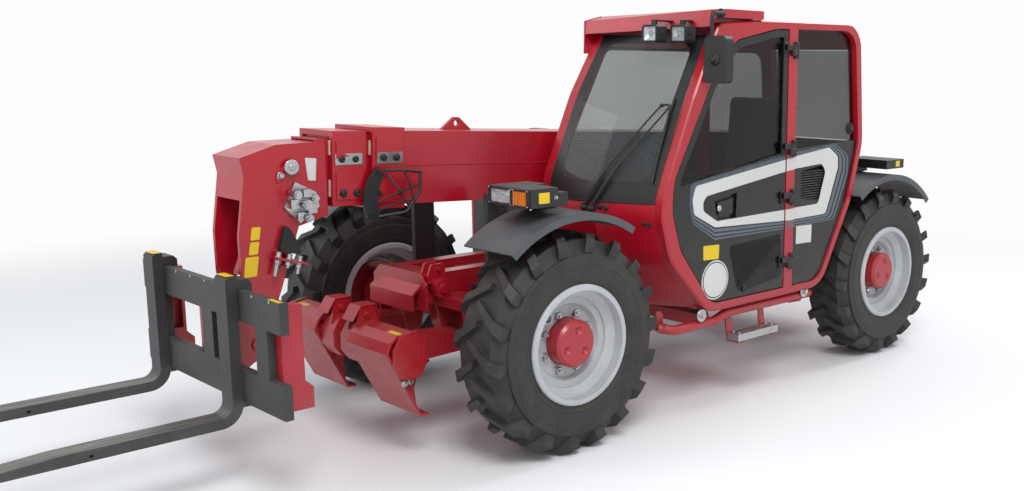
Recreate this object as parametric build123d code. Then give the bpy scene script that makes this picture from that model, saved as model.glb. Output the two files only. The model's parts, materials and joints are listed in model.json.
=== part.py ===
from build123d import *
import os
from math import atan2, cos, degrees, hypot, radians, sin

# Compact telehandler: four equal steered wheels, a cab on the left, an engine pod on the right,
# a three-section boom down the middle with a fork carriage, and two front stabilisers.
# Millimetres. +X points forward, +Y to the machine's left, +Z up. The origin is on the ground,
# half way between the counterweight's back face and the fork tips, on the machine's centre line.

# ---------------------------------------------------------------- driving sizes
wheelbase = 2530.0
rear_overhang = 550.0            # rear axle to the counterweight's back face
boom_overhang = 567.0            # front axle to the front end of the boom's outer section
middle_out = 187.0               # how far the middle section stands out of the outer one at rest
inner_out = 60.0                 # and the inner section out of the middle one
head_overlap = 39.0              # how far the head's plates reach back over the inner section
head_reach = boom_overhang + middle_out + inner_out - head_overlap
carriage_reach = head_reach + 510.0     # front axle to the front face of the fork carriage
shank_thickness = 45.0
blade_length = 1200.0            # fork blade, from the front of its shank
overall_length = rear_overhang + wheelbase + carriage_reach + shank_thickness + blade_length
front_x = rear_overhang + wheelbase - overall_length / 2
rear_x = front_x - wheelbase
axle_xs = (front_x, rear_x)
head_x = front_x + head_reach    # rear edge of the boom's head

running_gap = 0.05               # radial gap of a pin in its bore
seat_gap = 0.3                   # gap of curved faces and sliding pads
move_gap = 6.0                   # gap between pieces that move past each other
bar_sides = 12                   # flats round a bent bar

# wheels
tyre_radius = 515.0
tyre_width = 318.0
bead_radius = 262.0
bead_half = 128.0
sidewall_half = 150.0            # half width where the tyre's body is widest
sidewall_radius = 410.0
crown_half = 105.0
lug_height = 32.0
lugs_per_side = 18
lug_inner = (-71.0, -39.0)       # a lug along the wheel's turn, at the middle of the tread
lug_outer = (24.0, 78.0)         # and at its outer end
half_track = 791.0
rim_half = 150.0
rim_flange_radius = 282.0
rim_well_radius = 222.0
rim_well_half = 70.0
rim_seat_edge = 94.0
rim_shell = 8.0
disc_inner = 20.0                # wheel disc, measured outwards from the wheel's middle plane
disc_thickness = 14.0
disc_step_radius = 176.0
disc_step_depth = 26.0
hub_radius = 112.0
hub_face = 118.0
hub_chamfer = 14.0
hub_dimple_ring = 62.0
hub_dimple_radius = 21.0
hub_dimple_depth = 13.0
hub_dimple_count = 3
hub_flange_radius = 165.0
hub_flange_thickness = 15.0
hub_back = -62.0
hub_back_radius = 118.0
spindle_radius = 45.0
spindle_end = -6.0
kingpin_offset = 170.0           # kingpin to the wheel's middle plane
kingpin_radius = 25.0
kingpin_y = half_track - kingpin_offset
knuckle_radius = 55.0
knuckle_half_height = 85.0
spindle_flange_radius = 78.0
spindle_flange_thickness = 28.0

# axles
axle_tube_radius = 55.0
ear_thickness = 34.0
ear_radius = 52.0
ear_web_thickness = 45.0
housing_radius = 135.0
housing_half = 66.0
housing_cone = 38.0

# chassis
rail_y = (110.0, 185.0)
rail_z = (640.0, 780.0)
rail_front = 340.0               # front ends of the rails, ahead of the front axle
rail_back = 150.0                # back ends of the rails, behind the rear axle
axle_pad_z = tyre_radius + axle_tube_radius
axle_pad_half = 90.0
boom_pivot_inset = 180.0         # rear axle to the boom's pivot
boom_pivot_x = rear_x + boom_pivot_inset
boom_pivot_z = 1190.0
boom_pivot_radius = 35.0
tower_boss = 95.0
tower_plate = 28.0
front_cover_thickness = 12.0
tow_jaw_z = ((600.0, 690.0), (740.0, 830.0))    # jaw for a drawbar, and room for the pin's head above it
tow_pin_inset = 28.0
tow_pin_radius = 16.0
tow_pin_bottom = 540.0

# boom, drawn level about its pivot and then raised by boom_angle
boom_angle = 2.4
boom_wall = 9.0
outer_half_width = 150.0
outer_depth = 340.0
outer_tail = 190.0               # boom tail behind the pivot
outer_reach = (wheelbase - boom_pivot_inset + boom_overhang) / cos(radians(boom_angle))
outer_top = 160.0                # top of the outer section above the pivot line
section_step = 19.0              # room for a wear pad between two sections
collar_length = 165.0
collar_height = 16.0
cheek_thickness = 8.0
pad_inset = 12.0
tail_pad_length = 140.0

# boom head, tilting carriage and forks
head_plate = 20.0
head_half_width = 128.0
tilt_x = head_x + 365.0
tilt_z = 585.0
tilt_radius = 28.0
tilt_boss = 62.0
hitch_lug_gap = 5.5
carriage_half_width = 665.0
bar_thickness = 35.0
upper_bar_z = (739.0, 867.0)
lower_bar_z = (396.0, 536.0)
hitch_depth = 90.0
hitch_post_width = 60.0
fork_ys = (-480.0, 255.0)
fork_width = 100.0
shank_top_z = 925.0
blade_heel_z = 300.0
blade_thickness = 45.0
blade_tip_thickness = 12.0
heel_radius = 50.0

coupling_blocks = (
    # X from the head's rear edge, Z, side length, how far it stands out
    (180.0, 1175.0, 38.0, 60.0), (130.0, 1220.0, 34.0, 74.0), (105.0, 1150.0, 40.0, 66.0),
    (150.0, 1120.0, 30.0, 48.0),
)
coupling_stubs = (
    # X from the head's rear edge, Z, radius, how far it stands out
    (177.0, 1217.0, 14.0, 92.0), (137.0, 1171.0, 16.0, 100.0), (93.0, 1195.0, 12.0, 84.0),
    (121.0, 1110.0, 12.0, 80.0),
)

# hydraulic cylinders: barrel radius, rod radius, eye radius
lift_barrel_radius = 62.0
lift_rod_radius = 36.0
lift_eye_radius = 46.0
lift_base_x = rear_x + 580.0
lift_base_z = 690.0
lift_pin_reach = 1405.0          # boom pivot to the cylinder's pin, along the boom
lift_pin_drop = 275.0            # and below the pivot line
tilt_barrel_radius = 42.0
tilt_rod_radius = 26.0
tilt_eye_radius = 36.0
tilt_base = (head_x + 170.0, 1330.0)
tilt_base_pin = 22.0
tilt_pin = (head_x + 375.0, 775.0)

# stabilisers
stab_pivot_x = front_x + 175.0
stab_pivot_z = 470.0
stab_pin_radius = 24.0
stab_boss_radius = 38.0
stab_y = (175.0, 365.0)          # pivot boss of each arm
stab_lug_thickness = 16.0
stab_box_y = (32.0, 484.0)       # short enough to swing down past a steered front tyre
stab_foot_y = (150.0, 480.0)
stab_end_rim = 7.0               # how far the end plate stands out round the box
stab_box = (
    # X from the front axle, Z: side outline of the transverse box
    (530.0, 470.0), (560.0, 412.0), (608.0, 393.0), (656.0, 406.0), (692.0, 455.0), (692.0, 528.0),
    (656.0, 588.0), (585.0, 600.0), (535.0, 555.0),
)
stab_sole = (
    # X from the front axle, Z: the bent foot plate's face, from its top fold to its curled toe
    (668.0, 600.0), (706.0, 566.0), (727.0, 520.0), (566.0, 205.0), (520.0, 200.0),
)
stab_sole_thickness = 12.0
stab_foot_pin = (600.0, 372.0, 20.0)    # X from the front axle, Z, radius

# cab: the outer side ring is at cab_outer_y, the inner one beside the boom
cab_outer_y = 900.0
cab_inner_y = 205.0
ring_depth = 58.0
inner_ring_width = 55.0
cab_front = (
    # outer ring's X and inner ring's X from the front axle, Z, corner radius
    (-905.0, -700.0, 510.0, 160.0),
    (-620.0, -440.0, 815.0, 260.0),
    (-552.0, -362.0, 1060.0, 240.0),
    (-600.0, -395.0, 1215.0, 300.0),
    (-775.0, -575.0, 1620.0, 400.0),
    (-960.0, -800.0, 1985.0, 60.0),
)
cab_rear = (
    # X, Z, corner radius: roof, back and sill, alike on both rings
    (front_x - 1300.0, 2012.0, 300.0), (rear_x + 325.0, 2018.0, 150.0), (rear_x + 265.0, 1330.0, 300.0),
    (rear_x + 370.0, 985.0, 400.0), (rear_x + 645.0, 510.0, 180.0),
)
pillar_x = (front_x - 1605.0, front_x - 1530.0)
cab_opening = (
    # X, Z, corner radius: opening of the outer ring
    (front_x - 925.0, 556.0, 120.0), (front_x - 688.0, 865.0, 220.0), (front_x - 630.0, 1060.0, 200.0),
    (front_x - 640.0, 1215.0, 250.0), (front_x - 905.0, 1690.0, 300.0), (front_x - 1090.0, 1905.0, 120.0),
    (front_x - 1420.0, 1970.0, 300.0), (rear_x + 380.0, 1976.0, 120.0), (rear_x + 315.0, 1330.0, 260.0),
    (rear_x + 412.0, 1000.0, 360.0), (rear_x + 668.0, 553.0, 150.0),
)
front_pane = (
    # X, Z, corner radius: front window beside the boom
    (front_x - 500.0, 1150.0, 50.0), (front_x - 535.0, 1330.0, 150.0), (front_x - 815.0, 1850.0, 60.0),
    (pillar_x[1] + 30.0, 1850.0, 50.0), (pillar_x[1] + 30.0, 1150.0, 50.0),
)
rear_pane = (
    # X, Z, corner radius: rear window beside the boom
    (pillar_x[0] - 35.0, 1150.0, 50.0), (pillar_x[0] - 35.0, 1850.0, 50.0), (rear_x + 410.0, 1850.0, 80.0),
    (rear_x + 370.0, 1330.0, 150.0), (rear_x + 435.0, 1150.0, 50.0),
)
windscreen_bow = 45.0            # how far the windscreen's middle stands ahead of a straight line
cowl_top_z = 1100.0
cowl_thickness = 24.0
window_sill = ((front_x - 700.0, 1185.0), (front_x - 1560.0, 1318.0), (rear_x + 230.0, 1352.0))     # X, Z
cab_floor_z = (530.0, 570.0)
glass_thickness = 8.0
door_gap = 6.0
door_thickness = 42.0
handle_recess = (
    # X from the front axle, Z
    (-943.0, 1098.0), (-1119.0, 1123.0), (-1113.0, 991.0), (-965.0, 993.0),
)
handle_depth = 20.0
louvre_x = (rear_x + 619.0, rear_x + 847.0)
louvre_window = (
    # X, Z, corner radius
    (louvre_x[1], 1196.0, 22.0), (rear_x + 645.0, 1218.0, 22.0), (louvre_x[0], 1175.0, 22.0),
    (rear_x + 678.0, 1021.0, 22.0), (louvre_x[1], 1035.0, 22.0),
)
louvre_pitch = 14.0
louvre_slat = 7.0
hinge_x = front_x - 1545.0
hinge_y = cab_outer_y + 18.0
hinge_radius = 12.0
hinge_pin_radius = 6.0
hinge_knuckle = 30.0
hinge_zs = (700.0, 1060.0, 1330.0, 1860.0)
roof_z = (1968.0, 2012.0)

# folded visor over the windscreen, X from the front axle and Z: its two ends, and the plate at the inner end
visor_inner = (
    (-682.0, 1930.0), (-690.0, 1996.0), (-800.0, 2024.0), (-1100.0, 2026.0), (-1100.0, roof_z[1]),
    (-760.0, roof_z[1]), (-704.0, 1984.0), (-698.0, 1930.0),
)
visor_outer = (
    (-880.0, 1965.0), (-890.0, 2048.0), (-1000.0, 2055.0), (-1300.0, 2055.0), (-1300.0, roof_z[1]),
    (-930.0, roof_z[1]), (-904.0, 1998.0), (-896.0, 1965.0),
)
visor_end = ((-678.0, 1830.0), (-684.0, 1998.0), (-800.0, 2026.0), (-845.0, 1915.0), (-735.0, 1830.0))

outrigger_xs = (rear_x + 795.0, front_x - 940.0)
outrigger_z = (430.0, 495.0)     # arms that carry the cab

# engine pod on the right
pod_x = (rear_x + 670.0, front_x - 700.0)
pod_y = (-860.0, -240.0)
pod_z = (500.0, 1100.0)
pod_wall = 20.0
pod_split_z = 700.0
lid_gap = 6.0
vent_count = 16
vent_x = (pod_x[0] + 160.0, pod_x[0] + 620.0)
vent_z = (820.0, 980.0)

# fenders
fender_radius = 600.0
fender_thickness = 8.0
fender_y = (600.0, 948.0)
fender_lip = 26.0

# lamps and mirrors
lens_ys = ((625.0, 770.0), (798.0, 882.0))      # headlamp and indicator
lamp_base = 1159.0               # underside of the lamp boxes, on the fenders' brackets
work_lamp_places = (
    # X from the front axle, Y, X of the visor's lip behind it
    (-710.0, 690.0, -834.0),
    (-800.0, 800.0, -866.0),
)
mirror_y = 1055.0                # outer edge of both mirrors


# ---------------------------------------------------------------- shape helpers
def block(x, y, z):
    """A box from three (low, high) pairs."""
    size = Box(x[1] - x[0], y[1] - y[0], z[1] - z[0])
    return Pos((x[0] + x[1]) / 2, (y[0] + y[1]) / 2, (z[0] + z[1]) / 2) * size


def outline(points, radius=0.0):
    """A face from corner points, its corners rounded by radius."""
    face = make_face(Polyline(*points, close=True))
    return fillet(face.vertices(), radius) if radius else face


def rounded(rows):
    """A face from rows of X, Z and the radius of that corner."""
    points = [row[:2] for row in rows]
    return make_face(FilletPolyline(*points, radius=[row[2] for row in rows], close=True))


def side_plate(face, y):
    """A face drawn in X and Z, as a plate between two Y."""
    plane = Plane(origin=(0, y[0], 0), x_dir=(1, 0, 0), z_dir=(0, -1, 0))
    return extrude(plane * face, amount=-(y[1] - y[0]))


def cross_plate(face, x):
    """A face drawn in Y and Z, as a plate between two X."""
    plane = Plane(origin=(x[0], 0, 0), x_dir=(0, 1, 0), z_dir=(1, 0, 0))
    return extrude(plane * face, amount=x[1] - x[0])


def flat_plate(face, z):
    """A face drawn in X and Y, as a plate between two Z."""
    return extrude(Pos(0, 0, z[0]) * face, amount=z[1] - z[0])


def rod_x(y, z, radius, x):
    return Pos((x[0] + x[1]) / 2, y, z) * Rot(0, 90, 0) * Cylinder(radius, x[1] - x[0])


def rod_y(x, z, radius, y):
    return Pos(x, (y[0] + y[1]) / 2, z) * Rot(90, 0, 0) * Cylinder(radius, y[1] - y[0])


def rod_z(x, y, radius, z):
    return Pos(x, y, (z[0] + z[1]) / 2) * Cylinder(radius, z[1] - z[0])


def bent_rod(points, radius, bend):
    """A many-sided round bar along straight runs joined by bends of one radius."""
    path = FilletPolyline(*points, radius=bend)
    return sweep(Plane(origin=path @ 0, z_dir=path % 0) * RegularPolygon(radius, bar_sides), path=path)


def swap(pair):
    """The same (low, high) pair on the machine's other side."""
    return (-pair[1], -pair[0])


def both_sides(shape):
    return shape + mirror(shape, about=Plane.XZ)


def turned(profile):
    """Revolve a closed profile, drawn in Y and radius, about the Y axis."""
    return revolve(Plane.YZ * profile, Axis.Y)


def strip(points, thickness):
    """A thin band that follows points in X and Z, thickness laid to the band's right."""
    path = [Vector(x, z) for x, z in points]
    normals = []
    for start, end in zip(path, path[1:]):
        along = (end - start).normalized()
        normals.append(Vector(along.Y, -along.X))
    inner = []
    for index, point in enumerate(path):
        before = normals[max(index - 1, 0)]
        after = normals[min(index, len(normals) - 1)]
        middle = (before + after).normalized()
        inner.append(point + middle * (thickness / middle.dot(before)))
    corners = [(p.X, p.Y) for p in path] + [(p.X, p.Y) for p in reversed(inner)]
    return outline(corners)


def side_loft(sections):
    """A ruled solid through faces drawn in X and Z, each at its own Y."""
    faces = []
    for y, face in sections:
        plane = Plane(origin=(0, y, 0), x_dir=(1, 0, 0), z_dir=(0, -1, 0))
        faces.append(plane * face)
    return loft(faces, ruled=True)


# ---------------------------------------------------------------- wheels
def flat_ring(stations):
    """A ruled body about the Y axis through many-sided outlines, each given by Y and its flats' reach."""
    faces = []
    for y, reach in stations:
        plane = Plane(origin=(0, y, 0), x_dir=(1, 0, 0), z_dir=(0, -1, 0))
        faces.append(plane * RegularPolygon(reach, 2 * lugs_per_side, major_radius=False))
    return loft(faces, ruled=True)


def tyre_lug():
    """One slanted tread bar at the top of the tyre, from the middle of the tread to its left edge."""
    crown = tyre_radius - lug_height
    top = (tyre_radius ** 2 - lug_inner[0] ** 2) ** 0.5
    half = tyre_width / 2
    plan = outline([(lug_inner[0], -14), (lug_inner[1], -14), (lug_outer[1], half), (lug_outer[0], half)])
    side = outline([
        (-15, crown - 25), (-15, top), (crown_half + 13, top), (half, top - lug_height - 4), (140, 402),
        (100, 440),
    ])
    return flat_plate(plan, (crown / 2, top + 1)) & cross_plate(side, (-crown_half, crown_half))


def tyre():
    crown = tyre_radius - lug_height
    half_stations = [(bead_half, bead_radius), (sidewall_half, sidewall_radius), (crown_half, crown)]
    body = flat_ring([(-y, reach) for y, reach in half_stations] + list(reversed(half_stations)))
    body -= flat_ring([(-tyre_width, bead_radius), (tyre_width, bead_radius)])
    pitch = 360.0 / lugs_per_side
    left = tyre_lug()
    right = Rot(0, pitch / 2, 0) * mirror(left, about=Plane.XZ)
    lugs = [Rot(0, step * pitch, 0) * lug for step in range(lugs_per_side) for lug in (left, right)]
    lean = degrees(atan2(lug_inner[0], (tyre_radius ** 2 - lug_inner[0] ** 2) ** 0.5))
    return Rot(0, -lean, 0) * body.fuse(*lugs)


def rim():
    seat = bead_radius - seat_gap
    lean = (sidewall_half - bead_half) / (sidewall_radius - bead_radius)
    flange = bead_half + lean * (rim_flange_radius - bead_radius) + seat_gap
    inner = seat - rim_shell
    lip = rim_flange_radius - 6.0
    half_outer = [
        (rim_half, lip), (rim_half - 6.0, rim_flange_radius), (flange, rim_flange_radius), (flange, seat),
        (rim_seat_edge, seat), (rim_well_half, rim_well_radius),
    ]
    half_inner = [
        (rim_well_half + 2.0, rim_well_radius - rim_shell), (rim_seat_edge + 4.0, inner), (rim_half, inner),
    ]
    outer = half_outer + [(-u, r) for u, r in reversed(half_outer)]
    inside = [(-u, r) for u, r in reversed(half_inner)] + half_inner
    barrel = turned(outline(outer + inside))
    bore = hub_radius + 2.0
    step = disc_inner + disc_step_depth
    disc = outline([
        (disc_inner, bore), (disc_inner, disc_step_radius), (step, disc_step_radius + 14.0),
        (step, rim_well_radius - 3.0), (step + disc_thickness, rim_well_radius - 3.0),
        (step + disc_thickness, disc_step_radius + 6.0), (disc_inner + disc_thickness, disc_step_radius - 8.0),
        (disc_inner + disc_thickness, bore),
    ])
    return barrel + turned(disc)


def hub():
    flange_back = disc_inner - hub_flange_thickness
    profile = outline([
        (hub_back, spindle_radius + running_gap), (hub_back, hub_back_radius), (flange_back, hub_back_radius),
        (flange_back, hub_flange_radius), (disc_inner, hub_flange_radius), (disc_inner, hub_radius),
        (hub_face - hub_chamfer, hub_radius), (hub_face, hub_radius - hub_chamfer), (hub_face, 0),
        (spindle_end + 4.0, 0), (spindle_end + 4.0, spindle_radius + running_gap),
    ])
    body = turned(profile)
    for step in range(hub_dimple_count):
        turn = Rot(0, step * 360.0 / hub_dimple_count + 20.0, 0)
        cone = Cone(hub_dimple_radius, hub_dimple_radius / 3, hub_dimple_depth)
        body -= turn * Pos(hub_dimple_ring, hub_face - hub_dimple_depth / 2, 0) * Rot(90, 0, 0) * cone
    return body


def knuckle():
    """Left front knuckle about its own wheel centre: swivel post, spindle and steering arm."""
    post_y = -kingpin_offset
    flange_y = (hub_back - 7.0 - spindle_flange_thickness, hub_back - 7.0)
    post = rod_z(0, post_y, knuckle_radius, (-knuckle_half_height, knuckle_half_height))
    kingpins = rod_z(0, post_y, kingpin_radius, (-axle_ear_top(), axle_ear_top()))
    neck = block((-48, 48), (post_y, flange_y[1]), (-62, 62))
    flange = rod_y(0, 0, spindle_flange_radius, flange_y)
    spindle = rod_y(0, 0, spindle_radius, (flange_y[1], spindle_end))
    return post + kingpins + neck + flange + spindle


def axle_ear_top():
    return knuckle_half_height + 5.0 + ear_thickness


def place_wheel(shape, axle_x, side):
    """Put a shape drawn about the left wheel's centre on one corner of the machine."""
    if side < 0:
        shape = mirror(shape, about=Plane.XZ)
    return Pos(axle_x, side * half_track, tyre_radius) * shape


def axle(axle_x):
    web_y = kingpin_y - knuckle_radius - move_gap
    housing = outline([
        (0, 0), (0, housing_radius), (housing_half, housing_radius),
        (housing_half + housing_cone, axle_tube_radius), (housing_half + housing_cone, 0),
    ])
    half = turned(housing)
    half += rod_y(0, 0, axle_tube_radius, (0, web_y - ear_web_thickness + 5.0))
    top = axle_ear_top()
    low = knuckle_half_height + 5.0
    half += block((-ear_radius, ear_radius), (web_y - ear_web_thickness, web_y), (-top, top))
    for z in ((low, top), (-top, -low)):
        half += block((-ear_radius, ear_radius), (web_y - 1.0, kingpin_y), z)
        half += rod_z(0, kingpin_y, ear_radius, z)
        half -= rod_z(0, kingpin_y, kingpin_radius + running_gap, z)
    pad_y = (rail_y[0] - 4.0, rail_y[1] + 4.0)
    half += block((-axle_pad_half + 15, axle_pad_half - 15), pad_y, (0, axle_tube_radius))
    return Pos(axle_x, 0, tyre_radius) * both_sides(half)


# ---------------------------------------------------------------- chassis
def chassis():
    rail_x = (rear_x - rail_back, front_x + rail_front)
    frame = block(rail_x, rail_y, rail_z)
    for axle_x in axle_xs:
        pad_x = (axle_x - axle_pad_half, axle_x + axle_pad_half)
        frame += block(pad_x, rail_y, (axle_pad_z, rail_z[0]))
    tower = outline([
        (boom_pivot_x - 260, rail_z[0]), (boom_pivot_x + 300, rail_z[0]),
        (boom_pivot_x + tower_boss, boom_pivot_z), (boom_pivot_x - tower_boss, boom_pivot_z),
    ])
    tower_y = (outer_half_width + move_gap, outer_half_width + move_gap + tower_plate)
    frame += side_plate(tower, tower_y)
    frame += rod_y(boom_pivot_x, boom_pivot_z, tower_boss, tower_y)
    # stabiliser lugs under a cross member
    lug = rounded([
        (stab_pivot_x - 60, rail_z[0], 0), (stab_pivot_x - 42, stab_pivot_z - 42, 36),
        (stab_pivot_x + 42, stab_pivot_z - 42, 36), (stab_pivot_x + 80, rail_z[0], 0),
    ])
    for y in (stab_y[0] - move_gap - stab_lug_thickness, stab_y[1] + move_gap):
        frame += side_plate(lug, (y, y + stab_lug_thickness))
    lug_reach = stab_y[1] + move_gap + stab_lug_thickness
    frame += block((stab_pivot_x - 60, stab_pivot_x + 80), (0, lug_reach), (rail_z[0] - 20, rail_z[0] + 30))
    pin_y = (stab_y[0] - move_gap - stab_lug_thickness, lug_reach)
    frame += rod_y(stab_pivot_x, stab_pivot_z, stab_pin_radius, pin_y)
    frame = both_sides(frame)
    frame += rod_y(boom_pivot_x, boom_pivot_z, boom_pivot_radius, (-tower_y[1], tower_y[1]))
    for x in (rear_x + 330.0, front_x - 760.0, front_x - 60.0):
        frame += block((x - 30, x + 30), (-rail_y[0], rail_y[0]), (rail_z[0] + 10, rail_z[1] - 40))
    cover = outline([(-230, 612), (230, 612), (230, 740), (170, 790), (-170, 790), (-230, 740)])
    frame += cross_plate(cover, (front_x + rail_front, front_x + rail_front + front_cover_thickness))
    frame += rod_y(lift_base_x, lift_base_z, 28.0, (-rail_y[1], rail_y[1]))
    # folded cover over the nose, drawbar clevis with its pin, and side bosses
    nose = front_x + rail_front
    hood = outline([
        (nose - 120, rail_z[1]), (nose + 2, rail_z[1]), (nose + 2, 742), (nose + 62, 690), (nose + 62, 610),
        (nose + 50, 610), (nose + 50, 684), (nose - 10, 736), (nose - 10, rail_z[1] - 8),
        (nose - 120, rail_z[1] - 8),
    ])
    frame += side_plate(hood, (-rail_y[1], rail_y[1]))
    clevis = rounded([
        (nose - 110, rail_z[1] - 1, 0), (nose - 100, 832, 14), (nose - 30, 832, 14), (nose - 10, rail_z[1] - 1, 0),
    ])
    for y in (150, 206):
        frame += side_plate(clevis, (y, y + 14))
    frame += block((nose - 110, nose - 10), (rail_y[1] - 1, 220), (rail_z[1] - 40, rail_z[1] + 1))
    frame += rod_y(nose - 65, 808, 11, (138, 236))
    for side in (1, -1):
        y = (rail_y[1] - 1, rail_y[1] + 62)
        frame += rod_y(front_x + 262, 715, 46, y if side > 0 else swap(y))
        y = (rail_y[1] + 61, rail_y[1] + 74)
        frame += rod_y(front_x + 262, 715, 24, y if side > 0 else swap(y))
    for x in (pod_x[0] + 180, pod_x[1] - 180):
        frame += block((x - 50, x + 50), (pod_y[1], -rail_y[0]), (rail_z[0], rail_z[1] - 20))
    return frame


def cab_supports():
    """Outriggers under the cab, and the bent tube below its sill with the step's hangers."""
    arms = None
    for x in outrigger_xs:
        arm = block((x - 45, x + 45), (rail_y[0] + 30, cab_outer_y - 75), outrigger_z)
        arm += block((x - 45, x + 45), (rail_y[0], rail_y[1]), (outrigger_z[0], rail_z[0]))
        arms = arm if arms is None else arms + arm
    return arms + sill_bar()


def cab_mounts():
    """Rubber cab mounts between the outriggers and the cab floor."""
    mounts = None
    for x in outrigger_xs:
        for y in (cab_inner_y + ring_depth + 45, cab_outer_y - ring_depth - 45):
            disc = rod_z(x, y, 38.0, (outrigger_z[1], cab_floor_z[0]))
            mounts = disc if mounts is None else mounts + disc
    return mounts


def counterweight():
    x = (rear_x - rear_overhang, rear_x - rail_back)
    face = outline([
        (x[0], 560), (x[0] + 60, 480), (x[1], 480), (x[1], rail_z[1] + 30), (x[1] - 40, 1040),
        (x[0] + 90, 1040), (x[0], 960),
    ])
    body = side_plate(face, (-365, 365))
    for z in tow_jaw_z:
        body -= block((x[0] - 1, x[0] + 2 * tow_pin_inset), (-60, 60), z)
    # captive drawbar pin: shank through the jaw, head and pull ring in the room above it
    pin_x = x[0] + tow_pin_inset
    body += rod_z(pin_x, 0, tow_pin_radius, (tow_pin_bottom, tow_jaw_z[1][0] + 20))
    body += rod_z(pin_x, 0, tow_pin_radius + 12, (tow_jaw_z[1][0], tow_jaw_z[1][0] + 14))
    return body


def fender(axle_x, angles):
    """An arched mudguard over one wheel, with a turned-down outer lip."""
    start, end = [radians(a) for a in angles]
    middle = (start + end) / 2

    def on_arc(radius, angle):
        return (radius * cos(angle), radius * sin(angle))

    def band(inner, outer):
        rim_line = ThreePointArc(on_arc(outer, start), on_arc(outer, middle), on_arc(outer, end))
        under = ThreePointArc(on_arc(inner, end), on_arc(inner, middle), on_arc(inner, start))
        ends = [Line(rim_line @ 1, under @ 0), Line(under @ 1, rim_line @ 0)]
        return make_face([rim_line, under] + ends)

    shell = side_plate(band(fender_radius, fender_radius + fender_thickness), fender_y)
    lip_y = (fender_y[1] - fender_thickness, fender_y[1])
    shell += side_plate(band(fender_radius - fender_lip, fender_radius + fender_thickness), lip_y)
    return Pos(axle_x, 0, tyre_radius) * shell


def fenders():
    return both_sides(fender(front_x, (50, 123))) + both_sides(fender(rear_x, (56, 136)))


def fender_brackets():
    """Posts from the rails that carry the fenders and the lamp boxes."""
    top = tyre_radius + fender_radius + fender_thickness
    post = None
    for axle_x in axle_xs:
        x = (axle_x - 60, axle_x + 60)
        piece = block(x, (300, 330), (rail_z[0], top + 36))
        piece += block(x, (rail_y[1], 300), (rail_z[0], rail_z[0] + 60))
        piece += block(x, (330, fender_y[0] + 120), (top + 6, top + 36))
        piece += block(x, (fender_y[0] + 20, fender_y[0] + 100), (top + seat_gap, top + 6))
        post = piece if post is None else post + piece
    return both_sides(post)


# ---------------------------------------------------------------- boom
def raised(shape):
    """Turn a shape drawn level along the boom, its pivot at the origin, to its place."""
    return Pos(boom_pivot_x, 0, boom_pivot_z) * Rot(0, -boom_angle, 0) * shape


def section(level):
    """Half width, top and bottom of a boom section: 0 outer, 1 middle, 2 inner."""
    shrink = level * section_step
    return outer_half_width - shrink, outer_top - shrink, outer_top - outer_depth + shrink


def tube(level, x):
    half, top, bottom = section(level)
    return block(x, (-half, half), (bottom, top)) - bore_of(level, x)


def bore_of(level, x):
    """The space inside a boom section, a little longer than the stretch it is cut from."""
    half, top, bottom = section(level)
    return block((x[0] - 1, x[1] + 1), (boom_wall - half, half - boom_wall), (bottom + boom_wall, top - boom_wall))


def collar(level, x):
    """Front collar that holds the wear pads for the next section in."""
    half, top, bottom = section(level)
    ring = block(
        x, (-half - collar_height, half + collar_height), (bottom - collar_height, top + collar_height))
    return ring - bore_of(level, x)


def pads(level, x):
    """Four flat pads in a section's mouth, a sliding gap from the section inside."""
    half, top, bottom = section(level)
    next_half, next_top, next_bottom = section(level + 1)
    mouth = block(x, (boom_wall - half, half - boom_wall), (bottom + boom_wall, top - boom_wall))
    clear = block(
        (x[0] - 1, x[1] + 1), (-next_half - seat_gap, next_half + seat_gap),
        (next_bottom - seat_gap, next_top + seat_gap),
    )
    return mouth - clear


def collar_plates(level, end):
    """Scalloped cheek plates above and below on a collar's left side."""
    half, top, bottom = section(level)
    skin = (half + collar_height - 1, half + collar_height + cheek_thickness)
    x = (end - collar_length + 16, end - 16)
    width = x[1] - x[0]
    middle = (top + bottom) / 2
    upper = outline([(x[0], top - 30), (x[1], top - 30), (x[1], middle + 46), (x[0], middle + 46)])
    lower = outline([(x[0], bottom + 14), (x[1], bottom + 14), (x[1], middle - 20), (x[0], middle - 20)])
    wave = Pos(sum(x) / 2, middle + 46 - width * 0.42) * Circle(width * 0.5)
    upper = upper - wave
    lower = lower - Pos(sum(x) / 2, middle - 20 + width * 0.42) * Circle(width * 0.5)
    return side_plate(upper, skin) + side_plate(lower, skin)


middle_tail = 60.0               # rear end of the middle section, ahead of the pivot
inner_tail = 210.0
middle_reach = outer_reach + middle_out
inner_reach = middle_reach + inner_out


def boom_outer():
    half, top, bottom = section(0)
    body = tube(0, (-outer_tail, outer_reach))
    body -= block((-outer_tail - 1, 0), (-half - 1, half + 1), (bottom - 1, -75))
    body += rod_y(0, 0, 80.0, (-half, half)) - rod_y(0, 0, 80.0, (boom_wall - half, half - boom_wall))
    body += collar(0, (outer_reach - collar_length, outer_reach))
    body += both_sides(collar_plates(0, outer_reach))
    body += pads(0, (outer_reach - collar_length + pad_inset, outer_reach - pad_inset))
    eye_x = outer_reach - 560
    lug = outline([
        (eye_x - 90, top - 1), (eye_x - 15, top + 62), (eye_x + 15, top + 62), (eye_x + 90, top - 1),
    ])
    body += side_plate(lug, (-10, 10)) - rod_y(eye_x, top + 32, 15.0, (-20, 20))
    body -= rod_y(0, 0, boom_pivot_radius + running_gap, (-half - 20, half + 20))
    ear = outline([
        (lift_pin_reach - 95, bottom + 1), (lift_pin_reach - 50, -lift_pin_drop - 36),
        (lift_pin_reach + 50, -lift_pin_drop - 36), (lift_pin_reach + 95, bottom + 1),
    ])
    ear_y = (58.0, 78.0)
    body += side_plate(ear, ear_y) + side_plate(ear, swap(ear_y))
    return raised(body)


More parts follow.
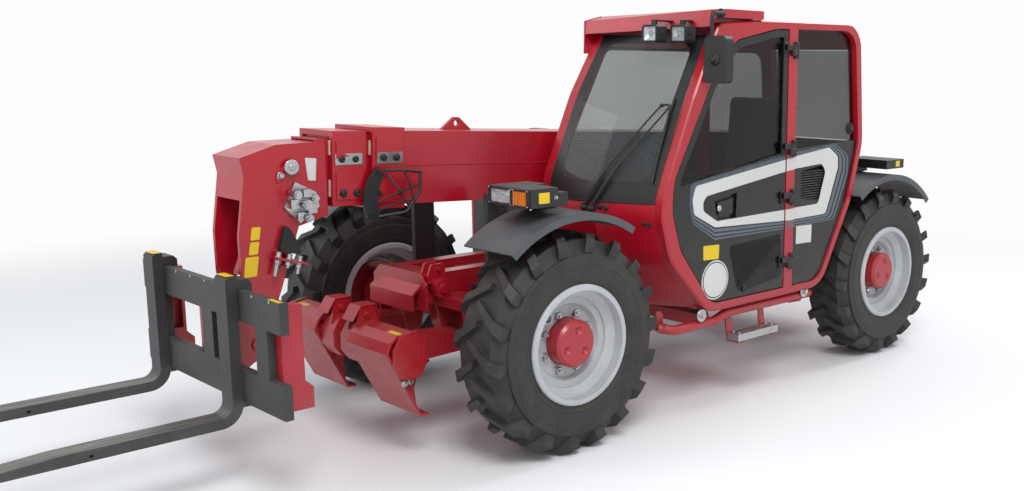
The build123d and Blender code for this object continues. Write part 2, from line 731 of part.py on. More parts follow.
def tail_pads(level, start):
    """Pads round a section's rear end, a sliding gap from the section outside."""
    half, top, bottom = section(level)
    outer_half, outer_top, outer_bottom = section(level - 1)
    slack = boom_wall + seat_gap
    x = (start, start + tail_pad_length)
    body = block(x, (slack - outer_half, outer_half - slack), (outer_bottom + slack, outer_top - slack))
    return body - block((x[0] - 1, x[1] + 1), (1 - half, half - 1), (bottom + 1, top - 1))


def boom_middle():
    body = tube(1, (middle_tail, middle_reach))
    body += collar(1, (middle_reach - collar_length, middle_reach))
    body += both_sides(collar_plates(1, middle_reach))
    body += pads(1, (middle_reach - collar_length + pad_inset, middle_reach - pad_inset))
    return raised(body + tail_pads(1, middle_tail))


def head_outline():
    """Side of the gooseneck head, in the machine's own X and Z."""
    x = head_x
    return outline([
        (x, 1432), (x + 225, 1428), (x + 386, 1379), (x + 371, 1300), (x + 407, 1050), (x + 405, 880),
        (x + 390, 740), (tilt_x + 52, tilt_z + 30), (tilt_x + 40, tilt_z - 40), (tilt_x - 40, tilt_z - 40),
        (tilt_x - 58, tilt_z + 30), (x + 235, 800), (x + 140, 1070), (x, 1105),
    ])


def boom_inner():
    body = raised(tube(2, (inner_tail, inner_reach)) + tail_pads(2, inner_tail))
    face = head_outline()
    plate_y = (head_half_width - head_plate, head_half_width)
    body += both_sides(side_plate(face, plate_y))
    inside = (-head_half_width + 1, head_half_width - 1)
    x = head_x
    skin = 12.0
    top_strip = strip([(x, 1432), (x + 225, 1428), (x + 386, 1379), (x + 371, 1300), (x + 385, 1200)], skin)
    body += side_plate(top_strip, inside)
    back = strip([(x + 235, 800), (x + 140, 1070), (x, 1105)], skin)
    body += side_plate(back, inside)
    body += rod_y(tilt_base[0], tilt_base[1], tilt_base_pin, (-head_half_width, head_half_width))
    body += rod_y(tilt_base[0], tilt_base[1], 24, (head_half_width - 1, head_half_width + 16))
    keeper = outline([(x + 155, 1322), (x + 171, 1306), (x + 229, 1262), (x + 237, 1284), (x + 187, 1338)])
    body += side_plate(keeper, (head_half_width - 1, head_half_width + 7))
    body -= rod_y(tilt_x, tilt_z, tilt_radius + running_gap, (-300, 300))
    return body


def hose_guard():
    """Fan-shaped cage on the boom's left side that keeps the hoses' loop in."""
    y = outer_half_width + collar_height + cheek_thickness + seat_gap
    x = front_x + boom_overhang
    blade = make_face([
        ThreePointArc((x - 22, 1312), (x + 55, 1215), (x + 45, 1078)), Line((x + 45, 1078), (x - 27, 1076)),
        ThreePointArc((x - 27, 1076), (x - 11, 1190), (x - 47, 1272)), Line((x - 47, 1272), (x - 22, 1312)),
    ])
    body = side_plate(blade, (y, y + 12))
    rim = bent_rod([(x - 39, y + 30, 1296), (x - 137, y + 62, 1290), (x - 217, y + 40, 1276)], 7, 30)
    bow = bent_rod([
        (x - 217, y + 40, 1280), (x - 205, y + 52, 1190), (x - 127, y + 58, 1100), (x - 7, y + 12, 1084),
    ], 7, 40)
    ribs = [
        [(x - 7, y + 8, 1150), (x - 87, y + 56, 1190), (x - 195, y + 50, 1220)],
        [(x - 11, y + 8, 1110), (x - 67, y + 50, 1140), (x - 172, y + 54, 1150)],
        [(x - 47, y + 10, 1290), (x - 97, y + 60, 1200), (x - 142, y + 58, 1112)],
        [(x - 117, y + 58, 1290), (x - 147, y + 62, 1230), (x - 167, y + 56, 1140)],
    ]
    for points in ribs:
        body += bent_rod(points, 4.5, 20)
    body += rim + bow
    for u, z in ((-19, 1290), (23, 1100)):
        body += rod_y(x + u, z, 11, (y, y + 20))
    return body


def couplings():
    """Hydraulic coupling block on the head's left side, with its quick couplings and the red hose bracket."""
    x = head_x
    y = head_half_width
    base = outline([(x + 210, 1160), (x + 155, 1265), (x + 60, 1215), (x + 47, 1150), (x + 140, 1085)])
    body = side_plate(base, (y, y + 16))
    for u, z, size, depth in coupling_blocks:
        body += block((x + u - size / 2, x + u + size / 2), (y + 15, y + depth), (z - size / 2, z + size / 2))
    for u, z, radius, depth in coupling_stubs:
        body += rod_y(x + u, z, radius, (y + 10, y + depth))
        body += rod_y(x + u, z, radius + 5, (y + depth - 26, y + depth - 12))
    return body


# ---------------------------------------------------------------- carriage and forks
def hitch():
    """Red quick-hitch frame: posts, cross beams, pivot lugs with the tilt pin."""
    face_x = front_x + carriage_reach - bar_thickness
    x = (face_x - hitch_depth, face_x)
    post_y = (carriage_half_width - 70 - hitch_post_width, carriage_half_width - 70)
    post = block(x, post_y, (lower_bar_z[0] + 10, upper_bar_z[1] - 30))
    hollow_z = (lower_bar_z[0] + 150, upper_bar_z[1] - 120)
    post -= block((x[0] + 14, x[1] - 12), (post_y[0] - 1, post_y[1] - 14), hollow_z)
    foot = outline([
        (x[0] - 34, lower_bar_z[0] + 10), (x[0] + 1, lower_bar_z[0] + 10), (x[0] + 1, lower_bar_z[0] + 130),
        (x[0] - 34, lower_bar_z[0] + 96),
    ])
    post += side_plate(foot, post_y)
    frame = both_sides(post)
    lug_y = (head_half_width + hitch_lug_gap, head_half_width + hitch_lug_gap + 22)
    frame += block((x[0] + 35, x[1]), (-post_y[1], post_y[1]), (lower_bar_z[0] + 30, lower_bar_z[0] + 100))
    upper = block((x[0] + 35, x[1]), (lug_y[0], post_y[1]), (upper_bar_z[0] - 10, upper_bar_z[0] + 60))
    frame += both_sides(upper)
    lug = outline([
        (face_x, upper_bar_z[0]), (face_x, lower_bar_z[0] + 60), (tilt_x - 10, tilt_z - tilt_boss + 4),
        (tilt_x - 46, tilt_z - 40), (tilt_x - 46, tilt_z + 40), (face_x - 60, upper_bar_z[0]),
    ])
    frame += both_sides(side_plate(lug, lug_y))
    # inner lugs for the tilt cylinder
    x, z = tilt_pin
    inner = outline([
        (tilt_x - 36, tilt_z), (x - 34, z + 10), (x - 18, z + 34), (x + 22, z + 34), (face_x, z - 20),
        (face_x, lower_bar_z[0] + 70), (tilt_x + 10, tilt_z - 36),
    ])
    frame += both_sides(side_plate(inner, (45, 60)))
    frame += rod_y(tilt_x, tilt_z, tilt_radius, (-lug_y[1] - 12, lug_y[1] + 12))
    return frame


def fork_carriage():
    front = front_x + carriage_reach
    x = (front - bar_thickness, front)
    wide = (-carriage_half_width, carriage_half_width)
    bars = block(x, wide, upper_bar_z) + block(x, wide, lower_bar_z)
    for y in (-carriage_half_width + 120, -50, carriage_half_width - 220):
        bars += block((x[0], x[1]), (y, y + 100), (lower_bar_z[1] - 1, upper_bar_z[0] + 1))
    return bars


def fork(y):
    front = front_x + carriage_reach
    face = front + shank_thickness
    tip = face + blade_length
    top = blade_heel_z + blade_thickness
    side = rounded([
        (front, shank_top_z, 0), (face - 14, shank_top_z, 0), (face, shank_top_z - 14, 0),
        (face, top, heel_radius), (face + blade_length * 0.55, top, 400),
        (tip, blade_heel_z + blade_tip_thickness, 0), (tip, blade_heel_z, 0),
        (front, blade_heel_z, heel_radius + 45),
    ])
    half = fork_width / 2
    body = side_plate(side, (y - half, y + half))
    plan = outline([
        (front - 10, y - half), (tip - 90, y - half), (tip, y - half / 2), (tip, y + half / 2),
        (tip - 90, y + half), (front - 10, y + half),
    ])
    body = body & flat_plate(plan, (blade_heel_z - 1, shank_top_z + 1))
    for u in (0.45, 0.72):
        body -= rod_y(face + blade_length * u, blade_heel_z + 18, 7, (y - half - 1, y + half + 1))
    # upper hook: lies on the bar and turns down behind it
    low = upper_bar_z[1] + seat_gap
    back = front - bar_thickness - move_gap
    hook = outline([
        (front + 1, low), (back, low), (back, low - 30), (back - 22, low - 30), (back - 22, low + 24),
        (back - 6, low + 40), (front + 1, low + 40),
    ])
    body += side_plate(hook, (y - half, y + half))
    # lower hook: a claw behind the lower bar
    high = lower_bar_z[0] - seat_gap
    claw = outline([
        (front + 1, high), (back, high), (back, high + 30), (back - 20, high + 30), (back - 20, high - 22),
        (front + 1, high - 22),
    ])
    return body + side_plate(claw, (y - half, y + half))


def forks():
    return fork(fork_ys[0]) + fork(fork_ys[1])


# ---------------------------------------------------------------- cylinders
def along(start, end, shape):
    """Place a shape drawn along +X from the origin so that it runs from start to end, in X and Z."""
    pitch = degrees(atan2(end[1] - start[1], end[0] - start[0]))
    return Pos(start[0], 0, start[1]) * Rot(0, -pitch, 0) * shape


def lift_pin():
    """Lift cylinder's pin on the boom, in X and Z."""
    a = radians(boom_angle)
    x = boom_pivot_x + lift_pin_reach * cos(a) + lift_pin_drop * sin(a)
    z = boom_pivot_z + lift_pin_reach * sin(a) - lift_pin_drop * cos(a)
    return (x, z)


def cylinder_barrel(length, radius, rod_radius, eye, eye_radius, eye_half):
    body = rod_x(0, 0, radius, (eye_radius * 0.8, length))
    body -= rod_x(0, 0, rod_radius + 8.0, (eye_radius * 0.8 + 40, length - 50))
    body -= rod_x(0, 0, rod_radius + running_gap, (length - 51, length + 1))
    body += rod_y(0, 0, eye_radius, (-eye_half, eye_half))
    return body - rod_y(0, 0, eye + running_gap, (-eye_half - radius, eye_half + radius))


def cylinder_rod(start, length, rod_radius, eye_radius, eye_half, pin_radius, pin_half):
    body = rod_x(0, 0, rod_radius, (start, length))
    body += rod_y(length, 0, eye_radius, (-eye_half, eye_half))
    return body + rod_y(length, 0, pin_radius, (-pin_half, pin_half))


lift_base = (lift_base_x, lift_base_z)
lift_length = hypot(lift_pin()[0] - lift_base_x, lift_pin()[1] - lift_base_z)
lift_barrel_length = lift_length - 130.0


def lift_barrel():
    shape = cylinder_barrel(lift_barrel_length, lift_barrel_radius, lift_rod_radius, 28.0, 52.0, 44.0)
    return along(lift_base, lift_pin(), shape)


def lift_rod():
    shape = cylinder_rod(150.0, lift_length, lift_rod_radius, lift_eye_radius, 40.0, 24.0, 50.0)
    return along(lift_base, lift_pin(), shape)


tilt_length = hypot(tilt_pin[0] - tilt_base[0], tilt_pin[1] - tilt_base[1])


def tilt_barrel():
    length = tilt_length - 90.0
    shape = cylinder_barrel(length, tilt_barrel_radius, tilt_rod_radius, tilt_base_pin, 38.0, 34.0)
    return along(tilt_base, tilt_pin, shape)


def tilt_rod():
    shape = cylinder_rod(110.0, tilt_length, tilt_rod_radius, tilt_eye_radius, 26.0, 18.0, 40.0)
    return along(tilt_base, tilt_pin, shape)


# ---------------------------------------------------------------- stabilisers
def stabiliser():
    """Left stabiliser, raised: pivot boss, arm, transverse box, end plate and foot."""
    x = front_x
    body = rod_y(stab_pivot_x, stab_pivot_z, stab_boss_radius, stab_y)
    arm = outline([
        (stab_pivot_x, stab_pivot_z - 36), (x + 600, 420), (x + 600, 540),
        (stab_pivot_x + 60, stab_pivot_z + 40), (stab_pivot_x, stab_pivot_z + 34),
    ])
    body += side_plate(arm, stab_y)
    face = outline([(x + u, z) for u, z in stab_box])
    body += side_plate(face, stab_box_y)
    end_plate = offset(face, amount=stab_end_rim, kind=Kind.INTERSECTION)
    body += side_plate(end_plate, (stab_box_y[1] - 1, stab_box_y[1] + 12))
    sole = strip([(x + u, z) for u, z in stab_sole], stab_sole_thickness)
    body += side_plate(sole, stab_foot_y)
    pin_x, pin_z, pin_radius = stab_foot_pin
    gusset = outline([
        (x + 712, 512), (x + 640, 560), (x + 560, 430), (x + pin_x - 40, pin_z + 6),
        (x + pin_x - 26, pin_z - 34), (x + 563, 224),
    ])
    for y in (stab_foot_y[0] + 16, stab_foot_y[1] - 42):
        body += side_plate(gusset, (y, y + 14))
    body += rod_y(x + pin_x, pin_z, pin_radius, (stab_foot_y[0] + 10, stab_foot_y[1] - 16))
    # lugs, cylinder pin and folded guard above the box
    lug = outline([(x + 562, 575), (x + 580, 671), (x + 652, 671), (x + 680, 560)])
    for y in (stab_box_y[0] + 40, stab_box_y[0] + 112):
        body += side_plate(lug, (y, y + 12))
    body += rod_y(x + 622, 628, 15, (stab_box_y[0] + 30, stab_box_y[0] + 134))
    guard = strip([(x + 560, 604), (x + 572, 676), (x + 655, 676), (x + 700, 610)], 6)
    body += side_plate(guard, (stab_box_y[0] + 36, stab_box_y[0] + 128))
    return body - rod_y(stab_pivot_x, stab_pivot_z, stab_pin_radius + running_gap, (0, 600))


# ---------------------------------------------------------------- cab
def cab_face(share, bow=0.0):
    """Side of the cab in X and Z: share 0 at the outer ring, 1 at the inner one."""
    rows = []
    for outer, inner, z, radius in cab_front:
        rows.append((front_x + outer + (inner - outer) * share + bow, z, radius))
    return rounded(rows + list(cab_rear))


def front_skin(thickness, z):
    """A skin of one thickness along the cab's front between the rings, between two heights."""
    low = (cab_inner_y + ring_depth, 1.0, 0.0)
    high = (cab_outer_y - ring_depth, 0.0, 0.0)
    middle = ((low[0] + high[0]) / 2, 0.5, windscreen_bow)
    window = Pos(front_x - 500, sum(z) / 2) * Rectangle(1200, z[1] - z[0])
    sections = []
    for y, share, bow in (low, middle, high):
        face = cab_face(share, bow)
        sections.append((y, (face - offset(face, amount=-thickness, kind=Kind.INTERSECTION)) & window))
    return side_loft(sections)


def opening():
    return rounded(cab_opening)


def front_opening():
    """Opening for the door in the outer side ring."""
    return opening() & (Pos(pillar_x[1] + 1000, 1300) * Rectangle(2000, 2000))


def rear_opening():
    return opening() & (Pos(pillar_x[0] - 1000, 1300) * Rectangle(2000, 2000))


def above_sill():
    """Everything above the sloping line where the side windows start."""
    front, back = window_sill[0], window_sill[-1]
    return outline(list(window_sill) + [(back[0], 2200), (front[0] + 200, 2200), (front[0] + 200, front[1])])


def roof_hatch():
    """Opening in the roof, drawn in X and Y."""
    return outline([
        (front_x - 1080, cab_inner_y + 110), (front_x - 1150, cab_outer_y - 110),
        (rear_x + 580, cab_outer_y - 110), (rear_x + 580, cab_inner_y + 110),
    ])


def pillar():
    return Pos(sum(pillar_x) / 2, 1300) * Rectangle(pillar_x[1] - pillar_x[0], 2000)


def cab_side_left():
    """Outer side: rounded ring, middle pillar and the door's hinge knuckles."""
    face = cab_face(0.0)
    ring = side_plate(face - opening() + (face & pillar()), (cab_outer_y - ring_depth, cab_outer_y))
    outside = ring.faces().sort_by(Axis.Y)[-1]
    ring = chamfer(outside.outer_wire().edges(), 9.0)
    for z in hinge_zs:
        knuckle_z = (z - hinge_knuckle, z)
        ring += rod_z(hinge_x, hinge_y, hinge_radius, knuckle_z)
        ring += block((hinge_x - 24, hinge_x + 10), (cab_outer_y - 1, hinge_y), knuckle_z)
        ring += rod_z(hinge_x, hinge_y, hinge_pin_radius, (z - 1, z + hinge_knuckle))
    return ring


def inner_windows():
    """Two rounded windows in the side beside the boom."""
    return rounded(front_pane) + rounded(rear_pane)


def cab_side_right():
    """Inner side beside the boom: ring and panel with two rounded windows."""
    face = cab_face(1.0)
    ring = face - offset(face, amount=-inner_ring_width, kind=Kind.INTERSECTION) + (face & pillar())
    side = side_plate(ring, (cab_inner_y, cab_inner_y + ring_depth))
    return side + side_plate(face - inner_windows(), (cab_inner_y + 12, cab_inner_y + 26))


def cab_roof():
    """Roof slab with its hatch and guard bars, the rear top bar and the folded visor."""
    y = (cab_inner_y + ring_depth, cab_outer_y - ring_depth)
    front = (front_x - 785, front_x - 945)
    back = rear_x + 350
    roof = outline([(front[0], y[0]), (front[1], y[1]), (back, y[1]), (back, y[0])])
    body = flat_plate(roof - roof_hatch(), roof_z)
    for x in (front_x - 1300, front_x - 1480, front_x - 1660, front_x - 1840):
        body += block((x - 12, x + 12), (cab_inner_y + 100, cab_outer_y - 100), (roof_z[1] - 24, roof_z[1]))
    body += side_plate(strip([(rear_x + 324, 1878), (rear_x + 346, roof_z[0] + 18)], 34), y)
    inner, outer, end = [
        outline([(front_x + u, z) for u, z in points]) for points in (visor_inner, visor_outer, visor_end)
    ]
    body += side_loft([(cab_inner_y, inner), (cab_outer_y, outer)])
    body += side_plate(end, (cab_inner_y - 8, cab_inner_y))
    return body + side_plate(outer, (cab_outer_y - 1, cab_outer_y + 6))


def cab_tub():
    """Floor and the curved cowl below the windscreen."""
    between_rings = (cab_inner_y + ring_depth, cab_outer_y - ring_depth)
    floor = block((rear_x + 744, front_x - 860), between_rings, cab_floor_z)
    return floor + front_skin(cowl_thickness, (cab_floor_z[0], cowl_top_z))


def cab_back():
    """Black lower panels: the rear wall, and the rear side panel with its louvres."""
    x = rear_x
    wall = strip([
        (x + 729, cab_floor_z[0] + 1), (x + 634, 618), (x + 403, 985), (x + 308, 1290), (x + 300, 1335)], 22)
    body = side_plate(wall, (cab_inner_y + ring_depth, cab_outer_y - ring_depth))
    low = rear_opening() - above_sill()
    grille = rounded(louvre_window) & offset(low, amount=-move_gap, kind=Kind.INTERSECTION)
    panel_y = (cab_outer_y - 50, cab_outer_y - 14)
    body += side_plate(low - grille, panel_y)
    z = louvre_window[3][1]
    while z < louvre_window[0][1]:
        slat = Pos(sum(louvre_x) / 2, z) * Rectangle(louvre_x[1] - louvre_x[0] + 60, louvre_slat)
        body += side_plate(slat & offset(grille, amount=1.0), (panel_y[1] - 16, panel_y[1] - 6))
        z += louvre_pitch
    return body


def cab_glass():
    glass = front_skin(glass_thickness, (cowl_top_z, roof_z[0]))
    rear = rear_opening() & above_sill()
    glass += side_plate(rear, (cab_outer_y - 40, cab_outer_y - 40 + glass_thickness))
    # panes beside the boom
    panes = offset(inner_windows(), amount=18.0, kind=Kind.INTERSECTION)
    glass += side_plate(panes, (cab_inner_y + 26, cab_inner_y + 26 + glass_thickness))
    # rear window and roof pane
    window = strip([(rear_x + 302, 1345), (rear_x + 332, 1868)], glass_thickness)
    glass += side_plate(window, (cab_inner_y + ring_depth, cab_outer_y - ring_depth))
    glass += flat_plate(roof_hatch(), (roof_z[0] + 4, roof_z[0] + 4 + glass_thickness))
    return glass


def door_face():
    return offset(front_opening(), amount=-door_gap, kind=Kind.INTERSECTION)


def door_window():
    return offset(door_face(), amount=-38.0, kind=Kind.INTERSECTION) & above_sill()


door_y = (cab_outer_y - door_thickness - 3.0, cab_outer_y - 3.0)


def door():
    body = side_plate(door_face() - door_window(), door_y)
    recess = outline([(front_x + u, z) for u, z in handle_recess])
    body -= side_plate(recess, (door_y[1] - handle_depth, door_y[1] + 1))
    grip = offset(recess, amount=-22.0, kind=Kind.INTERSECTION)
    body += side_plate(grip, (door_y[1] - handle_depth - 1, door_y[1] - 5))
    for z in hinge_zs:
        knuckle_z = (z + seat_gap, z + hinge_knuckle)
        leaf = rod_z(hinge_x, hinge_y, hinge_radius, knuckle_z)
        leaf += block((hinge_x, hinge_x + 60), (door_y[1] + 10, hinge_y + 6), knuckle_z)
        leaf += block((hinge_x + 25, hinge_x + 60), (door_y[1] - 1, hinge_y), knuckle_z)
        body += leaf - rod_z(hinge_x, hinge_y, hinge_pin_radius + running_gap, (z - 50, z + 50))
    return body


def door_glass():
    middle = sum(door_y) / 2
    return side_plate(door_window(), (middle, middle + glass_thickness))


def seat():
    x = front_x
    cushion = block((x - 1740, x - 1270), (320, 780), (1000, 1090))
    back = side_plate(outline([
        (x - 1740 - seat_gap, 1000), (x - 1750, 1095), (x - 1820, 1620), (x - 1900, 1620), (x - 1850, 1000),
    ]), (330, 770))
    return cushion + back


def seat_base():
    x = front_x
    return block((x - 1735, x - 1320), (370, 730), (cab_floor_z[1], 1000))


def dashboard():
    x = front_x
    column = along(column_foot, column_top, rod_x(0, 0, 32, (0, column_length)))
    foot_x = (column_foot[0] - 45, column_foot[0] + 45)
    column += block(foot_x, (-45, 45), (cab_floor_z[1], column_foot[1] + 20))
    console = block((x - 900, x - 760), (300, 800), (900, 1060))
    console += block((x - 935, x - 872), (480, 620), (cab_floor_z[1], 910))
    return console + Pos(0, wheel_y, 0) * column


column_foot = (front_x - 945.0, cab_floor_z[1] + 12.0)
column_top = (front_x - 1090.0, 1150.0)
column_length = hypot(column_top[0] - column_foot[0], column_top[1] - column_foot[1])
wheel_y = 550.0


def steering_wheel():
    ring = revolve(Plane.XZ * Pos(170, 0) * RegularPolygon(13, bar_sides), Axis.Z)
    spokes = block((-165, 165), (-14, 14), (-9, 5)) + rod_z(0, 0, 34, (-20, 8))
    wheel = Pos(0, 0, column_length + 20) * (ring + spokes)
    lean = degrees(atan2(column_foot[0] - column_top[0], column_top[1] - column_foot[1]))
    return Pos(column_foot[0], wheel_y, column_foot[1]) * Rot(0, -lean, 0) * wheel


# ---------------------------------------------------------------- engine pod
def engine_pod():
    floor = block(pod_x, pod_y, (pod_z[0], pod_z[0] + pod_wall))
    inner = block(pod_x, (pod_y[1] - pod_wall, pod_y[1]), pod_z)
    outer = block(pod_x, (pod_y[0], pod_y[0] + pod_wall), (pod_z[0], pod_split_z))
    body = floor + inner + outer
    for x in (pod_x[0], pod_x[1] - pod_wall):
        span = (x, x + pod_wall)
        body += block(span, (pod_y[0] + pod_wall, pod_y[1]), (pod_z[0], pod_split_z))
        body += block(span, (pod_y[0] + pod_wall + move_gap, pod_y[1]), (pod_z[0], pod_z[1] - 50))
    return body


def engine_block():
    return block((pod_x[0] + 180, pod_x[1] - 200), (-750, -360), (pod_z[0] + pod_wall, 980))


lid_hinge_y = pod_y[1] - pod_wall / 2
lid_hinge_z = pod_z[1] + 16.0


def engine_lid():
    """Lid over the top and outer side of the engine pod, hinged along its inner top edge."""
    wall = pod_wall
    top_z = (pod_z[1] + lid_gap, pod_z[1] + lid_gap + wall)
    face = outline([
        (pod_y[1] - 30, top_z[0]), (pod_y[1] - 30, top_z[1]), (pod_y[0] + 60, top_z[1]),
        (pod_y[0], top_z[1] - 50), (pod_y[0], pod_split_z + lid_gap), (pod_y[0] + wall, pod_split_z + lid_gap),
        (pod_y[0] + wall, top_z[0] - 40), (pod_y[0] + 60, top_z[0]),
    ])
    body = cross_plate(face, pod_x)
    for step in range(vent_count):
        slot_x = vent_x[0] + step * (vent_x[1] - vent_x[0]) / (vent_count - 1)
        body -= block((slot_x - 7, slot_x + 7), (pod_y[0] - 1, pod_y[0] + wall + 1), vent_z)
    for x in (pod_x[0] + 120, pod_x[1] - 120):
        span = (x + seat_gap, x + 50)
        knuckle = rod_x(lid_hinge_y, lid_hinge_z, 10.0, span)
        knuckle += block(span, (pod_y[1] - 60, lid_hinge_y), (top_z[0] + 4, top_z[1]))
        body += knuckle - rod_x(lid_hinge_y, lid_hinge_z, 5.0 + running_gap, (x - 60, x + 60))
    return body


def lid_hinges():
    body = None
    for x in (pod_x[0] + 120, pod_x[1] - 120):
        piece = rod_x(lid_hinge_y, lid_hinge_z, 10.0, (x - 50, x))
        piece += block((x - 50, x), (lid_hinge_y - 8, lid_hinge_y + 8), (pod_z[1] - 1, lid_hinge_z))
        piece += rod_x(lid_hinge_y, lid_hinge_z, 5.0, (x - 1, x + 50))
        body = piece if body is None else body + piece
    return body


# ---------------------------------------------------------------- lamps, mirrors, step
def lamp_housings():
    """Front and rear lamp boxes on the fenders, and two work lamps ahead of the visor's lip."""
    x = front_x
    base = lamp_base
    front = block((x + 40, x + 250), (fender_y[0] + 10, 900), (base, base + 84))
    front -= block((x - 10, x + 96), (fender_y[0] + 150, 901), (base + 60, base + 90))
    for y in lens_ys:
        wide = (y[0] - 12, y[1] + 12)
        frame = outline([(wide[0], base + 2), (wide[1], base + 2), (wide[1], base + 82), (wide[0], base + 82)], 10)
        front += cross_plate(frame, (x + 249, x + 262))
        front -= block((x + 240, x + 263), y, (base + 12, base + 72))
    rear = block((rear_x - 130, rear_x + 60), (fender_y[0] + 40, 940), (base, base + 54))
    body = both_sides(front) + both_sides(rear)
    for u, y, lip in work_lamp_places:
        face = outline([(y - 52, 1885), (y + 52, 1885), (y + 52, 1972), (y - 52, 1972)], 16)
        lamp = cross_plate(face, (x + u - 35, x + u + 35))
        lamp -= cross_plate(offset(face, amount=-9), (x + u + 22, x + u + 36))
        lamp += block((x + u - 8, x + u + 8), (y - 14, y + 14), (1971, 1995))
        lamp += block((x + lip, x + u + 8), (y - 14, y + 14), (1988, 1996))
        body += lamp
    return body


def lamp_lenses():
    """Clear lenses of the headlamps and the work lamps."""
    body = both_sides(block((front_x + 240, front_x + 256), lens_ys[0], (lamp_base + 12, lamp_base + 72)))
    for u, y, lip in work_lamp_places:
        body += block((front_x + u + 22, front_x + u + 28), (y - 30, y + 30), (1896, 1961))
    return body


def indicator_lenses():
    return both_sides(block((front_x + 240, front_x + 268), lens_ys[1], (lamp_base + 12, lamp_base + 72)))


def mirror_head(x, y, z):
    head = block(x, y, z)
    return fillet(head.edges().filter_by(Axis.X), 30)


def mirror_left():
    """Mirror on a bent arm from the visor's end plate."""
    x = front_x
    arm_y = cab_outer_y + 36
    arm = bent_rod([(x - 960, cab_outer_y + 6, 2030), (x - 960, arm_y, 2030), (x - 863, arm_y, 2030), (
        x - 863, arm_y, 1900)], 10.0, 22.0)
    return arm + mirror_head((x - 890, x - 835), (cab_outer_y + 10, mirror_y), (1690, 1920))


def mirror_right():
    """Mirror on a bent stalk that stands on the engine lid."""
    x = front_x - 1318.0
    lid_top = pod_z[1] + lid_gap + pod_wall
    stalk = bent_rod([(x, -800, lid_top), (x, -800, 1180), (x, -930, 1180), (x, -930, 1240)], 11.0, 30.0)
    foot = rod_z(x, -800, 34.0, (lid_top, lid_top + 10))
    return stalk + foot + mirror_head((x - 24, x + 24), (-mirror_y, -865), (1200, 1360))


step_y = (cab_outer_y - 30.0, 945.0)
step_z = (330.0, 368.0)
step_hole_rows = 3
step_hole_columns = 12
step_hole_radius = 7.0


def sill_bar():
    """Bent tube under the cab sill, with two bent straps that hold the step."""
    x = front_x
    y = cab_outer_y - 45
    low, high = 446.0, 476.0
    bar = bent_rod([
        (x - 640, y - 60, low + 10), (x - 700, y, low), (x - 1000, y, low), (x - 1090, y, high),
        (rear_x + 680, y, high), (rear_x + 680, y - 110, high - 8)], 26.0, 45.0)
    for u, z in ((-1125, high), (-1400, high)):
        strap = strip([
            (y - 8, z - 8), (y - 3, 400), (y + 7, 352), (y + 13, step_z[0]), (step_y[1] - 6, step_z[0])], 10)
        bar += cross_plate(strap, (x + u - 22, x + u + 22))
    for end in outrigger_xs:
        bar += block((end - 20, end + 20), (cab_outer_y - 80, y), (outrigger_z[0] + 8, outrigger_z[1] - 8))
    flag = outline([(x - 640, 440), (x - 690, 440), (x - 690, 520), (x - 668, 540), (x - 640, 540)])
    return bar + side_plate(flag, (y - 86, y - 74)) + rod_y(x - 665, 456, 24, (y - 80, y - 20))


def step_tread():
    """Pressed tray, open underneath, with rows of round grip holes."""
    x = (front_x - 1430, front_x - 1095)
    tray = block(x, step_y, step_z)
    tray -= block((x[0] + 3, x[1] - 3), (step_y[0] + 3, step_y[1] - 3), (step_z[0] - 1, step_z[1] - 3))
    holes = []
    for row in range(step_hole_rows):
        for column in range(step_hole_columns):
            hole_x = x[0] + 22 + column * (x[1] - x[0] - 44) / (step_hole_columns - 1)
            hole_y = step_y[0] + 14 + row * (step_y[1] - step_y[0] - 28) / (step_hole_rows - 1)
            hole = Pos(hole_x, hole_y) * RegularPolygon(step_hole_radius, 8)
            holes.append(flat_plate(hole, (step_z[1] - 5, step_z[1] + 1)))
    return tray.cut(*holes)


# ---------------------------------------------------------------- nodes
nodes = {
    "chassis": chassis(),
    "cab_supports": cab_supports(),
    "fender_brackets": fender_brackets(),
    "cab_mounts": cab_mounts(),
    "axle_beams": axle(front_x) + axle(rear_x),
    "counterweight": counterweight(),
    "engine_block": engine_block(),
    "engine_pod": engine_pod() + lid_hinges(),
    "engine_lid": engine_lid(),
    "fenders": fenders(),
    "lamp_housings": lamp_housings() - cab_roof(),
    "lamp_lenses": lamp_lenses(),
    "indicator_lenses": indicator_lenses(),
    "cab_side_left": cab_side_left(),
    "cab_side_right": cab_side_right(),
    "cab_roof": cab_roof(),
    "cab_tub": cab_tub(),
    "cab_back": cab_back(),
    "cab_glass": cab_glass(),
    "door": door(),
    "door_glass": door_glass(),
    "seat": seat(),
    "cab_fittings": seat_base() + dashboard(),
    "steering_wheel": steering_wheel(),
    "mirror_left": mirror_left(),
    "mirror_right": mirror_right(),
    "step_tread": step_tread(),
    "boom_outer": boom_outer(),
    "boom_middle": boom_middle(),
    "boom_inner": boom_inner(),
    "hose_guard": hose_guard(),
    "couplings": couplings(),
    "hitch": hitch(),
    "fork_carriage": fork_carriage(),
    "forks": forks(),
    "lift_barrel": lift_barrel(),
    "lift_rod": lift_rod(),
    "tilt_barrel": tilt_barrel(),
    "tilt_rod": tilt_rod(),
    "stabiliser_left": stabiliser(),
    "stabiliser_right": mirror(stabiliser(), about=Plane.XZ),
}

tyre_shape = tyre()
rim_shape = rim()
hub_shape = hub()
knuckle_shape = knuckle()
corners = (
    # name, axle X, side
    ("front_left", front_x, 1),
    ("front_right", front_x, -1),
    ("rear_left", rear_x, 1),
    ("rear_right", rear_x, -1),
)
for corner, axle_x, side in corners:
    nodes["tyre_" + corner] = place_wheel(tyre_shape, axle_x, side)
    nodes["rim_" + corner] = place_wheel(rim_shape, axle_x, side)
    nodes["hub_" + corner] = place_wheel(hub_shape, axle_x, side)
    nodes["knuckle_" + corner] = place_wheel(knuckle_shape, axle_x, side)

